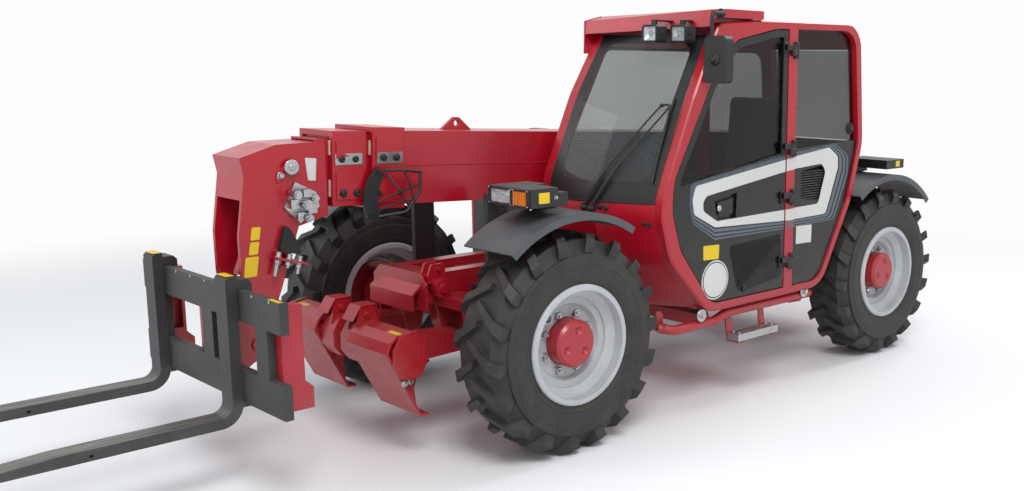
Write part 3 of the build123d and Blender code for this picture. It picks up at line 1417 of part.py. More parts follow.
os.makedirs("parts", exist_ok=True)
for name, shape in nodes.items():
    export_step(shape, "parts/" + name + ".step")
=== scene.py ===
import json
from math import cos, pi, radians, sin, tan

import bmesh
import bpy
from mathutils import Matrix, Vector
from mathutils.bvhtree import BVHTree
from mathutils.geometry import tessellate_polygon


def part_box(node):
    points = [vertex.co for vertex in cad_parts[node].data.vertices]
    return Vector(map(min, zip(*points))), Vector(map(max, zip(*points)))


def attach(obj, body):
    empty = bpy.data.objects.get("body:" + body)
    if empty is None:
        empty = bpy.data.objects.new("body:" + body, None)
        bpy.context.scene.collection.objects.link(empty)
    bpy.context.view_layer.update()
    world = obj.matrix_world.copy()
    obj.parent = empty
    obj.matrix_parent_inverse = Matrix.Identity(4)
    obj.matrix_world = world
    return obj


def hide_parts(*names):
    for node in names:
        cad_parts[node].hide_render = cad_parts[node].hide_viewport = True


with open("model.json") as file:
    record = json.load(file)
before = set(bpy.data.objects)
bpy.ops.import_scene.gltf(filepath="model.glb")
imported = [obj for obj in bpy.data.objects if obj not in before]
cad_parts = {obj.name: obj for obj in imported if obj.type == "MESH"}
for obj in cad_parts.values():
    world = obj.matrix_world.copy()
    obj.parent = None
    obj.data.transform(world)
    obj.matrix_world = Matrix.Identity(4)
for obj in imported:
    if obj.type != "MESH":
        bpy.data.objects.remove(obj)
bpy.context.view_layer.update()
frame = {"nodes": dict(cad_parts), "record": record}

# Looks of a compact telehandler. Metres: +X forwards, +Y to the machine's left, +Z up, origin on the
# ground. Pieces are placed from the CAD nodes' boxes and from X measured from the front axle.


# ---------------------------------------------------------------- places
def centre_of(name):
    low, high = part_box(name)
    return (low + high) / 2


front_axle = centre_of("tyre_front_left")
rear_axle = centre_of("tyre_rear_left")
FRONT_X, REAR_X = front_axle.x, rear_axle.x
AXLE_Z = front_axle.z
DOOR_FACE = 0.897                # outer faces of the door, the pillar and the rear side panel
PILLAR_FACE = 0.900
REAR_PANEL_FACE = 0.886
PILLAR_X = (-1.605, -1.530)      # X from the front axle
GLASS_FACE = 0.868
BOOM_PIVOT = Vector((REAR_X + 0.18, 0.0, 1.19))
BOOM_RISE = radians(2.4)
BOOM_FRAME = Matrix.Translation(BOOM_PIVOT) @ Matrix.Rotation(-BOOM_RISE, 4, "Y")
BOOM_REACH = 2.9196              # pivot to the outer section's end, along the boom
WHEELS = (
    # corner, axle's X, side
    ("front_left", FRONT_X, 1), ("front_right", FRONT_X, -1),
    ("rear_left", REAR_X, 1), ("rear_right", REAR_X, -1),
)
LEFT, AHEAD, UP = (0, 1, 0), (1, 0, 0), (0, 0, 1)
WHEEL_Y = front_axle.y

# ---------------------------------------------------------------- colours
RED = "#A80A20"
DARK_STEEL = "#2C2D2F"
WHEEL_SILVER = "#B9BCBF"
FENDER_GREY = "#4A4E52"
RUBBER_BLACK = "#161617"
PANEL_BLACK = "#0B0C0C"
DUST = "#6E675C"
TRIM_WHITE = "#CFCFCC"
STRIPE_GREY = "#56626C"
PLATE_YELLOW = "#E2BE16"
AMBER = "#E8780C"
STEEL = "#B8BABC"
PEEL_MM = 2.0                    # spacing of the orange peel in sprayed enamel


def linear(colour):
    """An sRGB hex colour as linear RGBA."""
    channels = [int(colour[i:i + 2], 16) / 255 for i in (1, 3, 5)]
    return [c / 12.92 if c <= 0.04045 else ((c + 0.055) / 1.055) ** 2.4 for c in channels] + [1.0]


def shade(colour, factor, lift=0.0):
    """A paler or darker tone of an sRGB hex colour, as linear RGBA."""
    return [c * factor + lift for c in linear(colour)[:3]] + [1.0]


# ---------------------------------------------------------------- finishes
def add(tree, kind, settings=None, links=None, output=0):
    """Add a shader node with its settings and links, and give back one of its outputs.

    A key is one of the node's own settings, or else a socket's name or number. MapRange reads the range from
    socket 1 to 2 and gives the range from 3 to 4; a colour Mix has its two colours on 6 and 7.
    """
    made = tree.nodes.new("ShaderNode" + kind)
    for key, value in (settings or {}).items():
        if isinstance(key, str) and hasattr(made, key):
            setattr(made, key, value)
        else:
            made.inputs[key].default_value = value
    for key, source in (links or {}).items():
        tree.links.new(source, made.inputs[key])
    return made.outputs[output]


def new_finish(name):
    """An empty material, with its tree, its shader and the object's own coordinates."""
    material = bpy.data.materials.new(name)
    material.use_nodes = True
    tree = material.node_tree
    return material, tree, tree.nodes["Principled BSDF"], add(tree, "TexCoord", output=3)


def feed(tree, shader, sockets):
    """Link or set the shader's sockets by name."""
    for name, value in sockets.items():
        if isinstance(value, bpy.types.NodeSocket):
            tree.links.new(value, shader.inputs[name])
        else:
            shader.inputs[name].default_value = value


def settled_dust(tree, place, top, low_amount, flat_amount):
    """How much dust lies at a point: more near the ground and on faces that look up, in soft patches."""
    height = add(tree, "SeparateXYZ", None, {0: place}, 2)
    low = add(tree, "MapRange", {1: 0.1, 2: top, 3: low_amount, 4: 0.0}, {0: height})
    facing = add(tree, "SeparateXYZ", None, {0: add(tree, "NewGeometry", output=1)}, 2)
    flat = add(tree, "MapRange", {1: 0.75, 2: 1.0, 3: 0.0, 4: flat_amount}, {0: facing})
    patches = add(tree, "TexNoise", {"Scale": 7.0, "Detail": 6.0, "Roughness": 0.62}, {"Vector": place})
    broken = add(tree, "MapRange", {1: 0.38, 2: 0.66, 3: 0.25, 4: 1.0}, {0: patches})
    total = add(tree, "Math", {"operation": "ADD", "use_clamp": True}, {0: low, 1: flat})
    return add(tree, "Math", {"operation": "MULTIPLY"}, {0: total, 1: broken})


def painted_steel(name, colour, roughness, coat=0.0, dust_top=0.9, low_dust=0.35, flat_dust=0.12, edge_highlight_and_wear=0.25,
                  under="#6E6A66"):
    """Sprayed enamel on steel: even gloss with 2 mm orange peel, edges that catch the light, a painted
    highlight mixed with a little rubbed-through wear along the edges, and road dust low down."""
    material, tree, shader, place = new_finish(name)
    # patches that the sun has paled
    fading = add(tree, "TexNoise", {"Scale": 1.6, "Detail": 3.0}, {"Vector": place})
    fade = add(tree, "MapRange", {1: 0.4, 2: 0.75, 3: 0.0, 4: 0.6}, {0: fading})
    sunned = shade(colour, 1.18, 0.006)
    tone = add(tree, "Mix", {"data_type": "RGBA", 6: linear(colour), 7: sunned}, {0: fade}, 2)
    # painted highlight mixed with rubbed-through wear, in patches along the edges where the rounded normal
    # turns away from the face's own
    rounded_normal = add(tree, "Bevel", {"samples": 4, "Radius": 0.004})
    along = add(tree, "VectorMath", {"operation": "DOT_PRODUCT"}, {
        0: rounded_normal, 1: add(tree, "NewGeometry", output=1)}, 1)
    edge = add(tree, "MapRange", {1: 0.97, 2: 0.86, 3: 0.0, 4: edge_highlight_and_wear}, {0: along})
    edge_patch_noise = add(tree, "TexNoise", {"Scale": 38.0, "Detail": 6.0, "Roughness": 0.7}, {"Vector": place})
    edge_patches = add(tree, "MapRange", {1: 0.5, 2: 0.64, 3: 0.0, 4: 1.0}, {0: edge_patch_noise})
    edge_highlight_and_wear_mask = add(tree, "Math", {"operation": "MULTIPLY"}, {0: edge, 1: edge_patches})
    tone = add(tree, "Mix", {"data_type": "RGBA", 7: linear(under)}, {0: edge_highlight_and_wear_mask, 6: tone}, 2)
    dust = settled_dust(tree, place, dust_top, low_dust, flat_dust)
    tone = add(tree, "Mix", {"data_type": "RGBA", 7: linear(DUST)}, {0: dust, 6: tone}, 2)
    # hand-wide smears in the gloss, duller under dust
    wiped = add(tree, "TexNoise", {"Scale": 14.0, "Detail": 5.0, "Roughness": 0.65}, {"Vector": place})
    gloss = add(tree, "MapRange", {1: 0.3, 2: 0.7, 3: roughness - 0.03, 4: roughness + 0.05}, {0: wiped})
    dull = add(tree, "Math", {"operation": "MULTIPLY_ADD", 1: 0.6}, {0: dust, 2: gloss})
    peel = add(tree, "TexNoise", {"Scale": 1000.0 / PEEL_MM, "Detail": 2.0}, {"Vector": place})
    skin = add(tree, "Bump", {"Distance": 0.00004}, {"Height": peel, "Normal": rounded_normal})
    feed(tree, shader, {
        "Base Color": tone, "Roughness": dull, "Coat Weight": coat, "Coat Roughness": 0.12, "Normal": skin})
    return material


def printed_vinyl(name, colour, roughness=0.35):
    """Printed vinyl film stuck to enamel or plastic: the same even gloss, with no painted edge highlight or
    rubbed edges and a thin veil of dust low down."""
    return painted_steel(name, colour, roughness, edge_highlight_and_wear=0.0, flat_dust=0.0, low_dust=0.15)


def moulded_plastic(name, colour, roughness, grain_mm=1.2, grain_depth=0.00006, dust_top=1.2, low_dust=0.25,
                    flat_dust=0.12):
    """Injection-moulded polypropylene: a leathery grain, pale scuffs and a film of dust."""
    material, tree, shader, place = new_finish(name)
    rubs = add(tree, "TexNoise", {"Scale": 11.0, "Detail": 6.0, "Roughness": 0.7}, {"Vector": place})
    scuffs = add(tree, "MapRange", {1: 0.5, 2: 0.78, 3: 0.0, 4: 0.6}, {0: rubs})
    scuffed = shade(colour, 1.5, 0.012)
    tone = add(tree, "Mix", {"data_type": "RGBA", 6: linear(colour), 7: scuffed}, {0: scuffs}, 2)
    dust = settled_dust(tree, place, dust_top, low_dust, flat_dust)
    tone = add(tree, "Mix", {"data_type": "RGBA", 7: linear(DUST)}, {0: dust, 6: tone}, 2)
    gloss = add(tree, "MapRange", {1: 0.3, 2: 0.7, 3: roughness - 0.07, 4: roughness + 0.08}, {0: rubs})
    cells = add(tree, "TexVoronoi", {"Scale": 1000.0 / grain_mm}, {"Vector": place})
    edges = add(tree, "Bevel", {"samples": 4, "Radius": 0.003})
    skin = add(tree, "Bump", {"Distance": grain_depth}, {"Height": cells, "Normal": edges})
    feed(tree, shader, {"Base Color": tone, "Roughness": gloss, "Normal": skin})
    return material


def tyre_rubber(name):
    """Vulcanised rubber: matt charcoal, paler where dry dust stays in the tread and on the walls."""
    material, tree, shader, place = new_finish(name)
    mottle = add(tree, "TexNoise", {"Scale": 9.0, "Detail": 7.0, "Roughness": 0.65}, {"Vector": place})
    tone = add(tree, "Mix", {"data_type": "RGBA", 6: linear("#121213"), 7: linear("#252526")}, {0: mottle}, 2)
    film = add(tree, "MapRange", {1: 0.42, 2: 0.72, 3: 0.05, 4: 0.26}, {0: mottle})
    specks = add(tree, "TexNoise", {"Scale": 160.0, "Detail": 3.0}, {"Vector": place})
    grit = add(tree, "MapRange", {1: 0.35, 2: 0.65, 3: 0.6, 4: 1.0}, {0: specks})
    dust = add(tree, "Math", {"operation": "MULTIPLY"}, {0: film, 1: grit})
    tone = add(tree, "Mix", {"data_type": "RGBA", 7: linear("#6F685F")}, {0: dust, 6: tone}, 2)
    gloss = add(tree, "MapRange", {1: 0.0, 2: 0.35, 3: 0.52, 4: 0.85}, {0: dust})
    edges = add(tree, "Bevel", {"samples": 4, "Radius": 0.006})
    skin = add(tree, "Bump", {"Distance": 0.0003}, {"Height": specks, "Normal": edges})
    feed(tree, shader, {"Base Color": tone, "Roughness": gloss, "Normal": skin})
    return material


def bare_metal(name, colour, roughness, grain_mm=0.8, depth=0.00002, stain=0.3):
    """Unpainted metal: full metal reflection, roughness that wanders, faint stains."""
    material, tree, shader, place = new_finish(name)
    patches = add(tree, "TexNoise", {"Scale": 22.0, "Detail": 5.0}, {"Vector": place})
    spots = add(tree, "MapRange", {1: 0.4, 2: 0.8, 3: 0.0, 4: stain}, {0: patches})
    tone = add(tree, "Mix", {"data_type": "RGBA", 6: linear(colour), 7: shade(colour, 0.6)}, {0: spots}, 2)
    gloss = add(tree, "MapRange", {1: 0.3, 2: 0.7, 3: roughness * 0.7, 4: roughness * 1.3}, {0: patches})
    grain = add(tree, "TexNoise", {"Scale": 1000.0 / grain_mm, "Detail": 2.0}, {"Vector": place})
    skin = add(tree, "Bump", {"Distance": depth}, {"Height": grain})
    feed(tree, shader, {"Base Color": tone, "Metallic": 1.0, "Roughness": gloss, "Normal": skin})
    return material


def worn_fork_steel(name):
    """Forged fork steel: dark paint above, rubbed to scratched grey metal along the blades' tops."""
    material, tree, shader, place = new_finish(name)
    height = add(tree, "SeparateXYZ", None, {0: place}, 2)
    low = add(tree, "MapRange", {1: 0.42, 2: 0.33, 3: 0.0, 4: 1.0}, {0: height})
    facing = add(tree, "SeparateXYZ", None, {0: add(tree, "NewGeometry", output=1)}, 2)
    upward = add(tree, "MapRange", {1: 0.5, 2: 0.95, 3: 0.15, 4: 1.0}, {0: facing})
    # streaks along the blade, as pallets scrape it
    stretched = add(tree, "Mapping", {"Scale": (3.0, 60.0, 20.0)}, {"Vector": place})
    streaks = add(tree, "TexNoise", {"Scale": 1.0, "Detail": 7.0, "Roughness": 0.7}, {"Vector": stretched})
    torn = add(tree, "MapRange", {1: 0.4, 2: 0.6, 3: 0.1, 4: 1.0}, {0: streaks})
    zone = add(tree, "Math", {"operation": "MULTIPLY"}, {0: low, 1: upward})
    wear = add(tree, "Math", {"operation": "MULTIPLY"}, {0: zone, 1: torn})
    tone = add(tree, "Mix", {"data_type": "RGBA", 6: linear(DARK_STEEL), 7: linear("#8E8C88")}, {0: wear}, 2)
    dust = settled_dust(tree, place, 0.9, 0.25, 0.15)
    tone = add(tree, "Mix", {"data_type": "RGBA", 7: linear(DUST)}, {0: dust, 6: tone}, 2)
    gloss = add(tree, "MapRange", {3: 0.52, 4: 0.36}, {0: wear})
    edges = add(tree, "Bevel", {"samples": 4, "Radius": 0.003})
    skin = add(tree, "Bump", {"Distance": 0.00015}, {"Height": streaks, "Normal": edges})
    feed(tree, shader, {"Base Color": tone, "Metallic": wear, "Roughness": gloss, "Normal": skin})
    return material


def cab_glazing(name):
    """Toughened glass: a clear windscreen and smoke-tinted side panes, with a thin film of dust."""
    material, tree, shader, place = new_finish(name)
    # the windscreen is what lies ahead of the doors and between the cab's sides
    lengthways = add(tree, "SeparateXYZ", None, {0: place}, 0)
    ahead = add(tree, "Math", {"operation": "GREATER_THAN", 1: FRONT_X - 1.0}, {0: lengthways})
    sideways = add(tree, "SeparateXYZ", None, {0: place}, 1)
    inside = add(tree, "Math", {"operation": "COMPARE", 1: 0.552, 2: 0.295}, {0: sideways})
    screen = add(tree, "Math", {"operation": "MULTIPLY"}, {0: ahead, 1: inside})
    film = add(tree, "TexNoise", {"Scale": 3.0, "Detail": 5.0}, {"Vector": place})
    smoke = add(tree, "MapRange", {1: 0.3, 2: 0.7, 3: 0.42, 4: 0.46}, {0: film})
    clear = add(tree, "MapRange", {1: 0.3, 2: 0.7, 3: 0.16, 4: 0.2}, {0: film})
    cover = add(tree, "Mix", None, {0: screen, 2: smoke, 3: clear})
    tint = add(tree, "Mix", {"data_type": "RGBA", 6: linear("#0C0E0E"), 7: linear("#6C7678")}, {0: screen}, 2)
    feed(tree, shader, {"Base Color": tint, "Roughness": 0.02, "IOR": 1.45, "Alpha": cover})
    return material


def lens_plastic(name, colour, alpha, flute_mm=9.0):
    """Moulded acrylic lens with upright flutes across it."""
    material, tree, shader, place = new_finish(name)
    flutes = add(tree, "TexWave", {
        "Scale": 2 * pi * 1.0 / (flute_mm / 1000.0) / 20.0, "bands_direction": "Y"}, {"Vector": place}, 1)
    tone = add(tree, "Mix", {"data_type": "RGBA", 6: linear(colour), 7: shade(colour, 0.72)}, {0: flutes}, 2)
    skin = add(tree, "Bump", {"Distance": 0.0012}, {"Height": flutes})
    feed(tree, shader, {
        "Base Color": tone, "Roughness": 0.08, "IOR": 1.49, "Alpha": alpha, "Coat Weight": 0.5, "Normal": skin})
    return material


def woven_fabric(name, colour):
    """Flat-woven seat cloth: 2.5 mm weave with a soft sheen and lighter worn threads."""
    material, tree, shader, place = new_finish(name)
    weave = 1000.0 / 2.5 * 2 * pi / 20.0
    warp = add(tree, "TexWave", {"Scale": weave, "bands_direction": "X"}, {"Vector": place}, 1)
    weft = add(tree, "TexWave", {"Scale": weave, "bands_direction": "Y"}, {"Vector": place}, 1)
    cloth = add(tree, "Math", {"operation": "MAXIMUM"}, {0: warp, 1: weft})
    worn_thread = shade(colour, 1.9, 0.01)
    tone = add(tree, "Mix", {"data_type": "RGBA", 6: linear(colour), 7: worn_thread}, {0: cloth}, 2)
    skin = add(tree, "Bump", {"Distance": 0.0005}, {"Height": cloth})
    feed(tree, shader, {"Base Color": tone, "Roughness": 0.9, "Sheen Weight": 0.3, "Normal": skin})
    return material


vinyl_white = printed_vinyl("printed_vinyl_white", TRIM_WHITE)
vinyl_grey = printed_vinyl("printed_vinyl_grey", STRIPE_GREY)
vinyl_black = printed_vinyl("printed_vinyl_black", "#101112")
vinyl_yellow = printed_vinyl("printed_vinyl_yellow", PLATE_YELLOW, 0.4)
# the enamels' edges are painted paler as a highlight mixed with rubbed-through wear; on the silver wheel enamel
# the edge tone is darker
red_enamel = painted_steel("red_enamel_on_steel", RED, 0.3, coat=0.25)
dark_enamel = painted_steel("satin_dark_grey_enamel", DARK_STEEL, 0.48, edge_highlight_and_wear=0.5)
black_enamel = painted_steel("satin_black_enamel", "#18191A", 0.42, edge_highlight_and_wear=0.3)
wheel_enamel = painted_steel(
    "silver_wheel_enamel", WHEEL_SILVER, 0.36, dust_top=1.1, low_dust=0.3, under="#57534E")
black_abs = moulded_plastic("black_abs_panel", PANEL_BLACK, 0.28, grain_mm=2.0, grain_depth=0.00002)
black_grained = moulded_plastic("black_grained_plastic", "#17181A", 0.5)
fender_plastic = moulded_plastic("grey_fender_plastic", FENDER_GREY, 0.5, dust_top=1.4, low_dust=0.35)
black_rubber = moulded_plastic("black_rubber", RUBBER_BLACK, 0.7, grain_mm=1.0)
pale_nylon = moulded_plastic("pale_nylon_wear_pad", "#C9C2AE", 0.45)
tread_rubber = tyre_rubber("tyre_rubber")
bright_steel = bare_metal("zinc_plated_steel", STEEL, 0.32)
hard_chrome = bare_metal("hard_chrome", "#D8DADC", 0.12, stain=0.05)
pressed_aluminium = bare_metal("pressed_aluminium", "#B4B6B7", 0.42)
mirror_silver = bare_metal("silvered_mirror_glass", "#E4E8EA", 0.03, depth=0.0, stain=0.05)
weld_steel = painted_steel("painted_weld_bead", RED, 0.34, coat=0.2, edge_highlight_and_wear=0.0)
cab_glass_finish = cab_glazing("toughened_cab_glass")
clear_lens = lens_plastic("clear_fluted_lens", "#DDE4E8", 0.3)
amber_lens = lens_plastic("amber_fluted_lens", AMBER, 0.85)
red_lens = lens_plastic("red_fluted_lens", "#B01414", 0.9)
seat_cloth = woven_fabric("woven_seat_cloth", "#26282B")
fork_steel = worn_fork_steel("forged_fork_steel")

finish_of_slot = {
    "red_paint": red_enamel, "dark_steel": dark_enamel, "black_panel": black_abs, "tyre_rubber": tread_rubber,
    "rubber_black": black_rubber, "rim_silver": wheel_enamel, "fender_grey": fender_plastic,
    "tinted_glass": cab_glass_finish, "lamp_glass": clear_lens, "amber_lens": amber_lens,
    "cast_metal": black_enamel, "chrome_rod": hard_chrome, "seat_cover": seat_cloth,
    "tread_aluminium": pressed_aluminium, "zinc_steel": bright_steel,
}
finish_of_node = {
    "forks": fork_steel, "hose_guard": black_enamel, "lamp_housings": black_enamel,
    "mirror_left": black_grained, "mirror_right": black_grained,
    "cab_fittings": black_grained, "steering_wheel": black_grained,
}
slot_of = {row["node"]: row["material_slot"] for row in frame["record"]["subparts"]}
for node_name, node_object in frame["nodes"].items():
    node_object.data.materials.clear()
    node_object.data.materials.append(finish_of_node.get(node_name) or finish_of_slot[slot_of[node_name]])


# ---------------------------------------------------------------- mesh making
def from_axle(u, y, z):
    """A point whose X is measured from the front axle."""
    return Vector((FRONT_X + u, y, z))


def aimed(place, direction):
    """A frame at place whose Z axis points along direction."""
    turn = Vector(direction).normalized().to_track_quat("Z", "Y")
    return Matrix.Translation(place) @ turn.to_matrix().to_4x4()


def new_meshes(count):
    return [bmesh.new() for _ in range(count)]


def piece(name, mesh_build, material, body, bevel=0.0, smooth=35.0):
    """Turn a built mesh into a piece that rides on a body."""
    bmesh.ops.recalc_face_normals(mesh_build, faces=mesh_build.faces)
    mesh = bpy.data.meshes.new(name)
    mesh_build.to_mesh(mesh)
    mesh_build.free()
    mesh.materials.append(material)
    mesh.polygons.foreach_set("use_smooth", [True] * len(mesh.polygons))
    mesh.set_sharp_from_angle(angle=radians(smooth))
    made = bpy.data.objects.new(name, mesh)
    bpy.context.scene.collection.objects.link(made)
    if bevel:
        edge = made.modifiers.new("edges", "BEVEL")
        edge.width = bevel
        edge.segments = 2
        edge.limit_method = "ANGLE"
        edge.harden_normals = True
    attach(made, body)
    return made


def add_prism(build, points, depth):
    """A closed prism from a flat outline and the vector it is drawn out along."""
    low = [build.verts.new(point) for point in points]
    high = [build.verts.new(Vector(point) + Vector(depth)) for point in points]
    build.faces.new(low)
    build.faces.new(list(reversed(high)))
    for index in range(len(low)):
        after = (index + 1) % len(low)
        build.faces.new((low[index], high[index], high[after], low[after]))


def rectangle(low_a, high_a, low_b, high_b):
    """The corners of a rectangle in its plane's two directions, in order round it."""
    return [(low_a, low_b), (high_a, low_b), (high_a, high_b), (low_a, high_b)]


def join(build, near, far, closed=True):
    """Faces between two rows of as many points, all the way round or open at the ends."""
    for index in range(len(near) if closed else len(near) - 1):
        after = (index + 1) % len(near)
        build.faces.new((near[index], near[after], far[after], far[index]))


def add_box(build, low, high):
    """A block between its low and its high corner."""
    corners = [(x, y, low[2]) for x, y in rectangle(low[0], high[0], low[1], high[1])]
    add_prism(build, corners, (0, 0, high[2] - low[2]))


def add_turned(build, frame_at, profile, sides=32):
    """A surface of revolution about a frame's Z axis from (radius, height) rows; radius 0 closes an end."""
    rings = []
    for radius, height in profile:
        if radius == 0:
            rings.append([build.verts.new(frame_at @ Vector((0, 0, height)))])
            continue
        ring = []
        for step in range(sides):
            angle = 2 * pi * step / sides
            ring.append(build.verts.new(frame_at @ Vector((radius * cos(angle), radius * sin(angle), height))))
        rings.append(ring)
    for low, high in zip(rings, rings[1:]):
        for step in range(sides):
            after = (step + 1) % sides
            round_face = ((low, step), (low, after), (high, after), (high, step))
            loop = [row[turn % len(row)] for row, turn in round_face]
            build.faces.new(list(dict.fromkeys(loop)))


def add_disc(build, place, direction, radius, height, edge=0.001, sides=32):
    """A short round pad with a rounded rim."""
    add_turned(build, aimed(place, direction), [
        (0, 0), (radius, 0), (radius, height - edge), (radius - edge, height), (0, height)], sides)


def add_bolt(build, place, direction, across, turn=0.0):
    """A hexagon bolt head with its flange and a chamfered top."""
    at = aimed(place, direction) @ Matrix.Rotation(turn, 4, "Z")
    flange = across * 0.68
    add_turned(build, at, [
        (0, 0), (flange, 0), (flange, across * 0.07), (flange * 0.8, across * 0.14), (0, across * 0.14)], 20)
    corner = across / 2 / cos(pi / 6)
    add_turned(build, at, [
        (0, across * 0.1), (corner, across * 0.1), (corner, across * 0.62), (corner * 0.86, across * 0.72),
        (0, across * 0.72)], 6)


def add_screw(build, place, direction, radius):
    """A domed screw head with a hexagon socket."""
    at = aimed(place, direction)
    add_turned(build, at, [(radius * out, radius * height) for out, height in (
        (0, 0), (1, 0), (1, 0.35), (0.72, 0.75), (0.45, 0.8), (0.42, 0.4), (0, 0.4))], 18)


def add_bar(build, points, radius, sides=12, closed=False):
    """A round bar or hose along points, its ends closed."""
    path = [Vector(point) for point in points]
    count = len(path)
    rings = []
    side = None
    for index, point in enumerate(path):
        before = path[index - 1] if index or closed else point
        after = path[(index + 1) % count] if index < count - 1 or closed else point
        along = (after - before).normalized()
        if side is None:
            side = along.orthogonal().normalized()
        side = (side - along * side.dot(along)).normalized()
        up = along.cross(side)
        thick = radius(index / (count - 1)) if callable(radius) else radius
        turns = [2 * pi * step / sides for step in range(sides)]
        rings.append([build.verts.new(point + thick * (cos(turn) * side + sin(turn) * up)) for turn in turns])
    for low, high in list(zip(rings, rings[1:])) + ([(rings[-1], rings[0])] if closed else []):
        join(build, low, high)
    if not closed:
        build.faces.new(rings[0])
        build.faces.new(list(reversed(rings[-1])))


def rounded(corners, radius, steps=5):
    """A closed outline with each corner turned into a short curve."""
    points = []
    for index, corner in enumerate(corners):
        here = Vector(corner)
        before = Vector(corners[index - 1]) - here
        after = Vector(corners[(index + 1) % len(corners)]) - here
        reach = min(radius / tan(before.angle(after) / 2), before.length * 0.45, after.length * 0.45)
        start, end = here + before.normalized() * reach, here + after.normalized() * reach
        for step in range(steps + 1):
            t = step / steps
            points.append((1 - t) ** 2 * start + 2 * t * (1 - t) * here + t * t * end)
    return points


def side_outline(rows, y, radius=0.0):
    """Outline rows of X from the front axle and Z, as points on a plane of one Y."""
    points = [from_axle(u, y, z) for u, z in rows]
    return rounded(points, radius) if radius else points


def smooth_path(points, steps=6):
    """Points along a smooth line through the given ones."""
    path = [Vector(point) for point in points]
    path = [path[0]] + path + [path[-1]]
    line = []
    for a, b, c, d in zip(path, path[1:], path[2:], path[3:]):
        for step in range(steps):
            t = step / steps
            square, cube = 2 * a - 5 * b + 4 * c - d, 3 * b - a - 3 * c + d
            line.append(0.5 * (2 * b + (c - a) * t + square * t ** 2 + cube * t ** 3))
    return line + [path[-1]]


def skin_of(name):
    """A node's surface, for rays."""
    mesh = frame["nodes"][name].data
    return BVHTree.FromPolygons([v.co for v in mesh.vertices], [p.vertices for p in mesh.polygons])


def touch_point(skin, start, direction, lift):
    """Where a ray meets a surface, lifted off along the normal, and the normal that faces the ray's start."""
    place, normal, _, _ = skin.ray_cast(start, Vector(direction))
    if normal.dot(Vector(direction)) > 0:
        normal = -normal
    return place + normal * lift, normal


def front_of(skin, y, z, lift=0.0):
    """The frontmost point of a surface at one Y and Z, and its normal."""
    return touch_point(skin, from_axle(3.0, y, z), (-1, 0, 0), lift)


def side_of(skin, u, z, lift=0.0, side=1):
    """The outermost point of a surface at X from the front axle and Z, on the left unless side is -1."""
    return touch_point(skin, from_axle(u, side * 3.0, z), (0, -side, 0), lift)[0]


def top_of(skin, u, y, lift=0.0):
    """The highest point of a surface at X from the front axle and Y."""
    return touch_point(skin, from_axle(u, y, 4.0), (0, 0, -1), lift)[0]


# ---------------------------------------------------------------- trim on the cab's left side
BAND_WHITE_OUTER = (
    # X from the front axle, Z
    (-0.800, 1.180), (-1.570, 1.277), (-1.942, 1.317), (-2.031, 1.261), (-2.034, 1.195), (-1.926, 0.934),
    (-1.596, 0.930), (-0.950, 0.955), (-0.790, 1.035), (-0.777, 1.112),
)
BAND_WHITE_INNER = (
    (-0.882, 1.122), (-1.573, 1.211), (-1.874, 1.227), (-1.913, 1.182), (-1.850, 0.999), (-0.965, 0.986),
    (-0.858, 1.048), (-0.858, 1.093),
)
BAND_STRIPE_OUTER = (
    (-0.760, 1.198), (-1.562, 1.302), (-2.010, 1.338), (-2.142, 1.258), (-2.140, 1.150), (-2.016, 0.889),
    (-1.575, 0.883), (-0.948, 0.886), (-0.776, 0.990), (-0.752, 1.089),
)
FILM = 0.0007                    # thickness of a printed film


def between(first, second, share):
    """The outline a share of the way from the first to the second."""
    return [tuple((1 - share) * p + share * q for p, q in zip(a, b)) for a, b in zip(first, second)]


def film_band(name, outer, inner, material, radius=0.035):
    """A printed film between two outlines, cut where the door, the pillar and the rear panel meet."""
    cuts = (
        # body, X from the front axle: low and high, face it lies on
        ("door", -1.5245, 0.0, DOOR_FACE),
        ("chassis", PILLAR_X[0] + 0.001, PILLAR_X[1] - 0.001, PILLAR_FACE),
        ("chassis", -3.0, PILLAR_X[0] - 0.001, REAR_PANEL_FACE),
    )
    for index, (body, low, high, face) in enumerate(cuts):
        loops = [side_outline(outer, face, radius), side_outline(inner, face, radius)]
        build = bmesh.new()
        corners = [build.verts.new(point) for loop in loops for point in loop]
        for triangle in tessellate_polygon(loops):
            build.faces.new([corners[corner] for corner in triangle])
        for limit, side in ((low, -1), (high, 1)):
            bmesh.ops.bisect_plane(
                build, geom=build.verts[:] + build.edges[:] + build.faces[:], plane_co=from_axle(limit, 0, 0),
                plane_no=(side, 0, 0), clear_outer=True)
        if not build.faces:
            build.free()
            continue
        grown = bmesh.ops.extrude_face_region(build, geom=build.faces[:])["geom"]
        raised = [part for part in grown if isinstance(part, bmesh.types.BMVert)]
        bmesh.ops.translate(build, vec=(0, FILM, 0), verts=raised)
        piece(name + "_" + str(index), build, material, body)


film_band("band_white", BAND_WHITE_OUTER, BAND_WHITE_INNER, vinyl_white)
for stripe, (start, end) in enumerate(((0.12, 0.36), (0.48, 0.68), (0.80, 0.94))):
    film_band(
        "band_stripe_" + str(stripe), between(BAND_WHITE_OUTER, BAND_STRIPE_OUTER, end),
        between(BAND_WHITE_OUTER, BAND_STRIPE_OUTER, start), vinyl_grey, 0.05)


def plate_on_side(name, corners, y, material, body, radius=0.004, thick=FILM):
    """A blank plate or film on a face that looks to the left."""
    build = bmesh.new()
    add_prism(build, side_outline(corners, y, radius), (0, thick, 0))
    return piece(name, build, material, body)


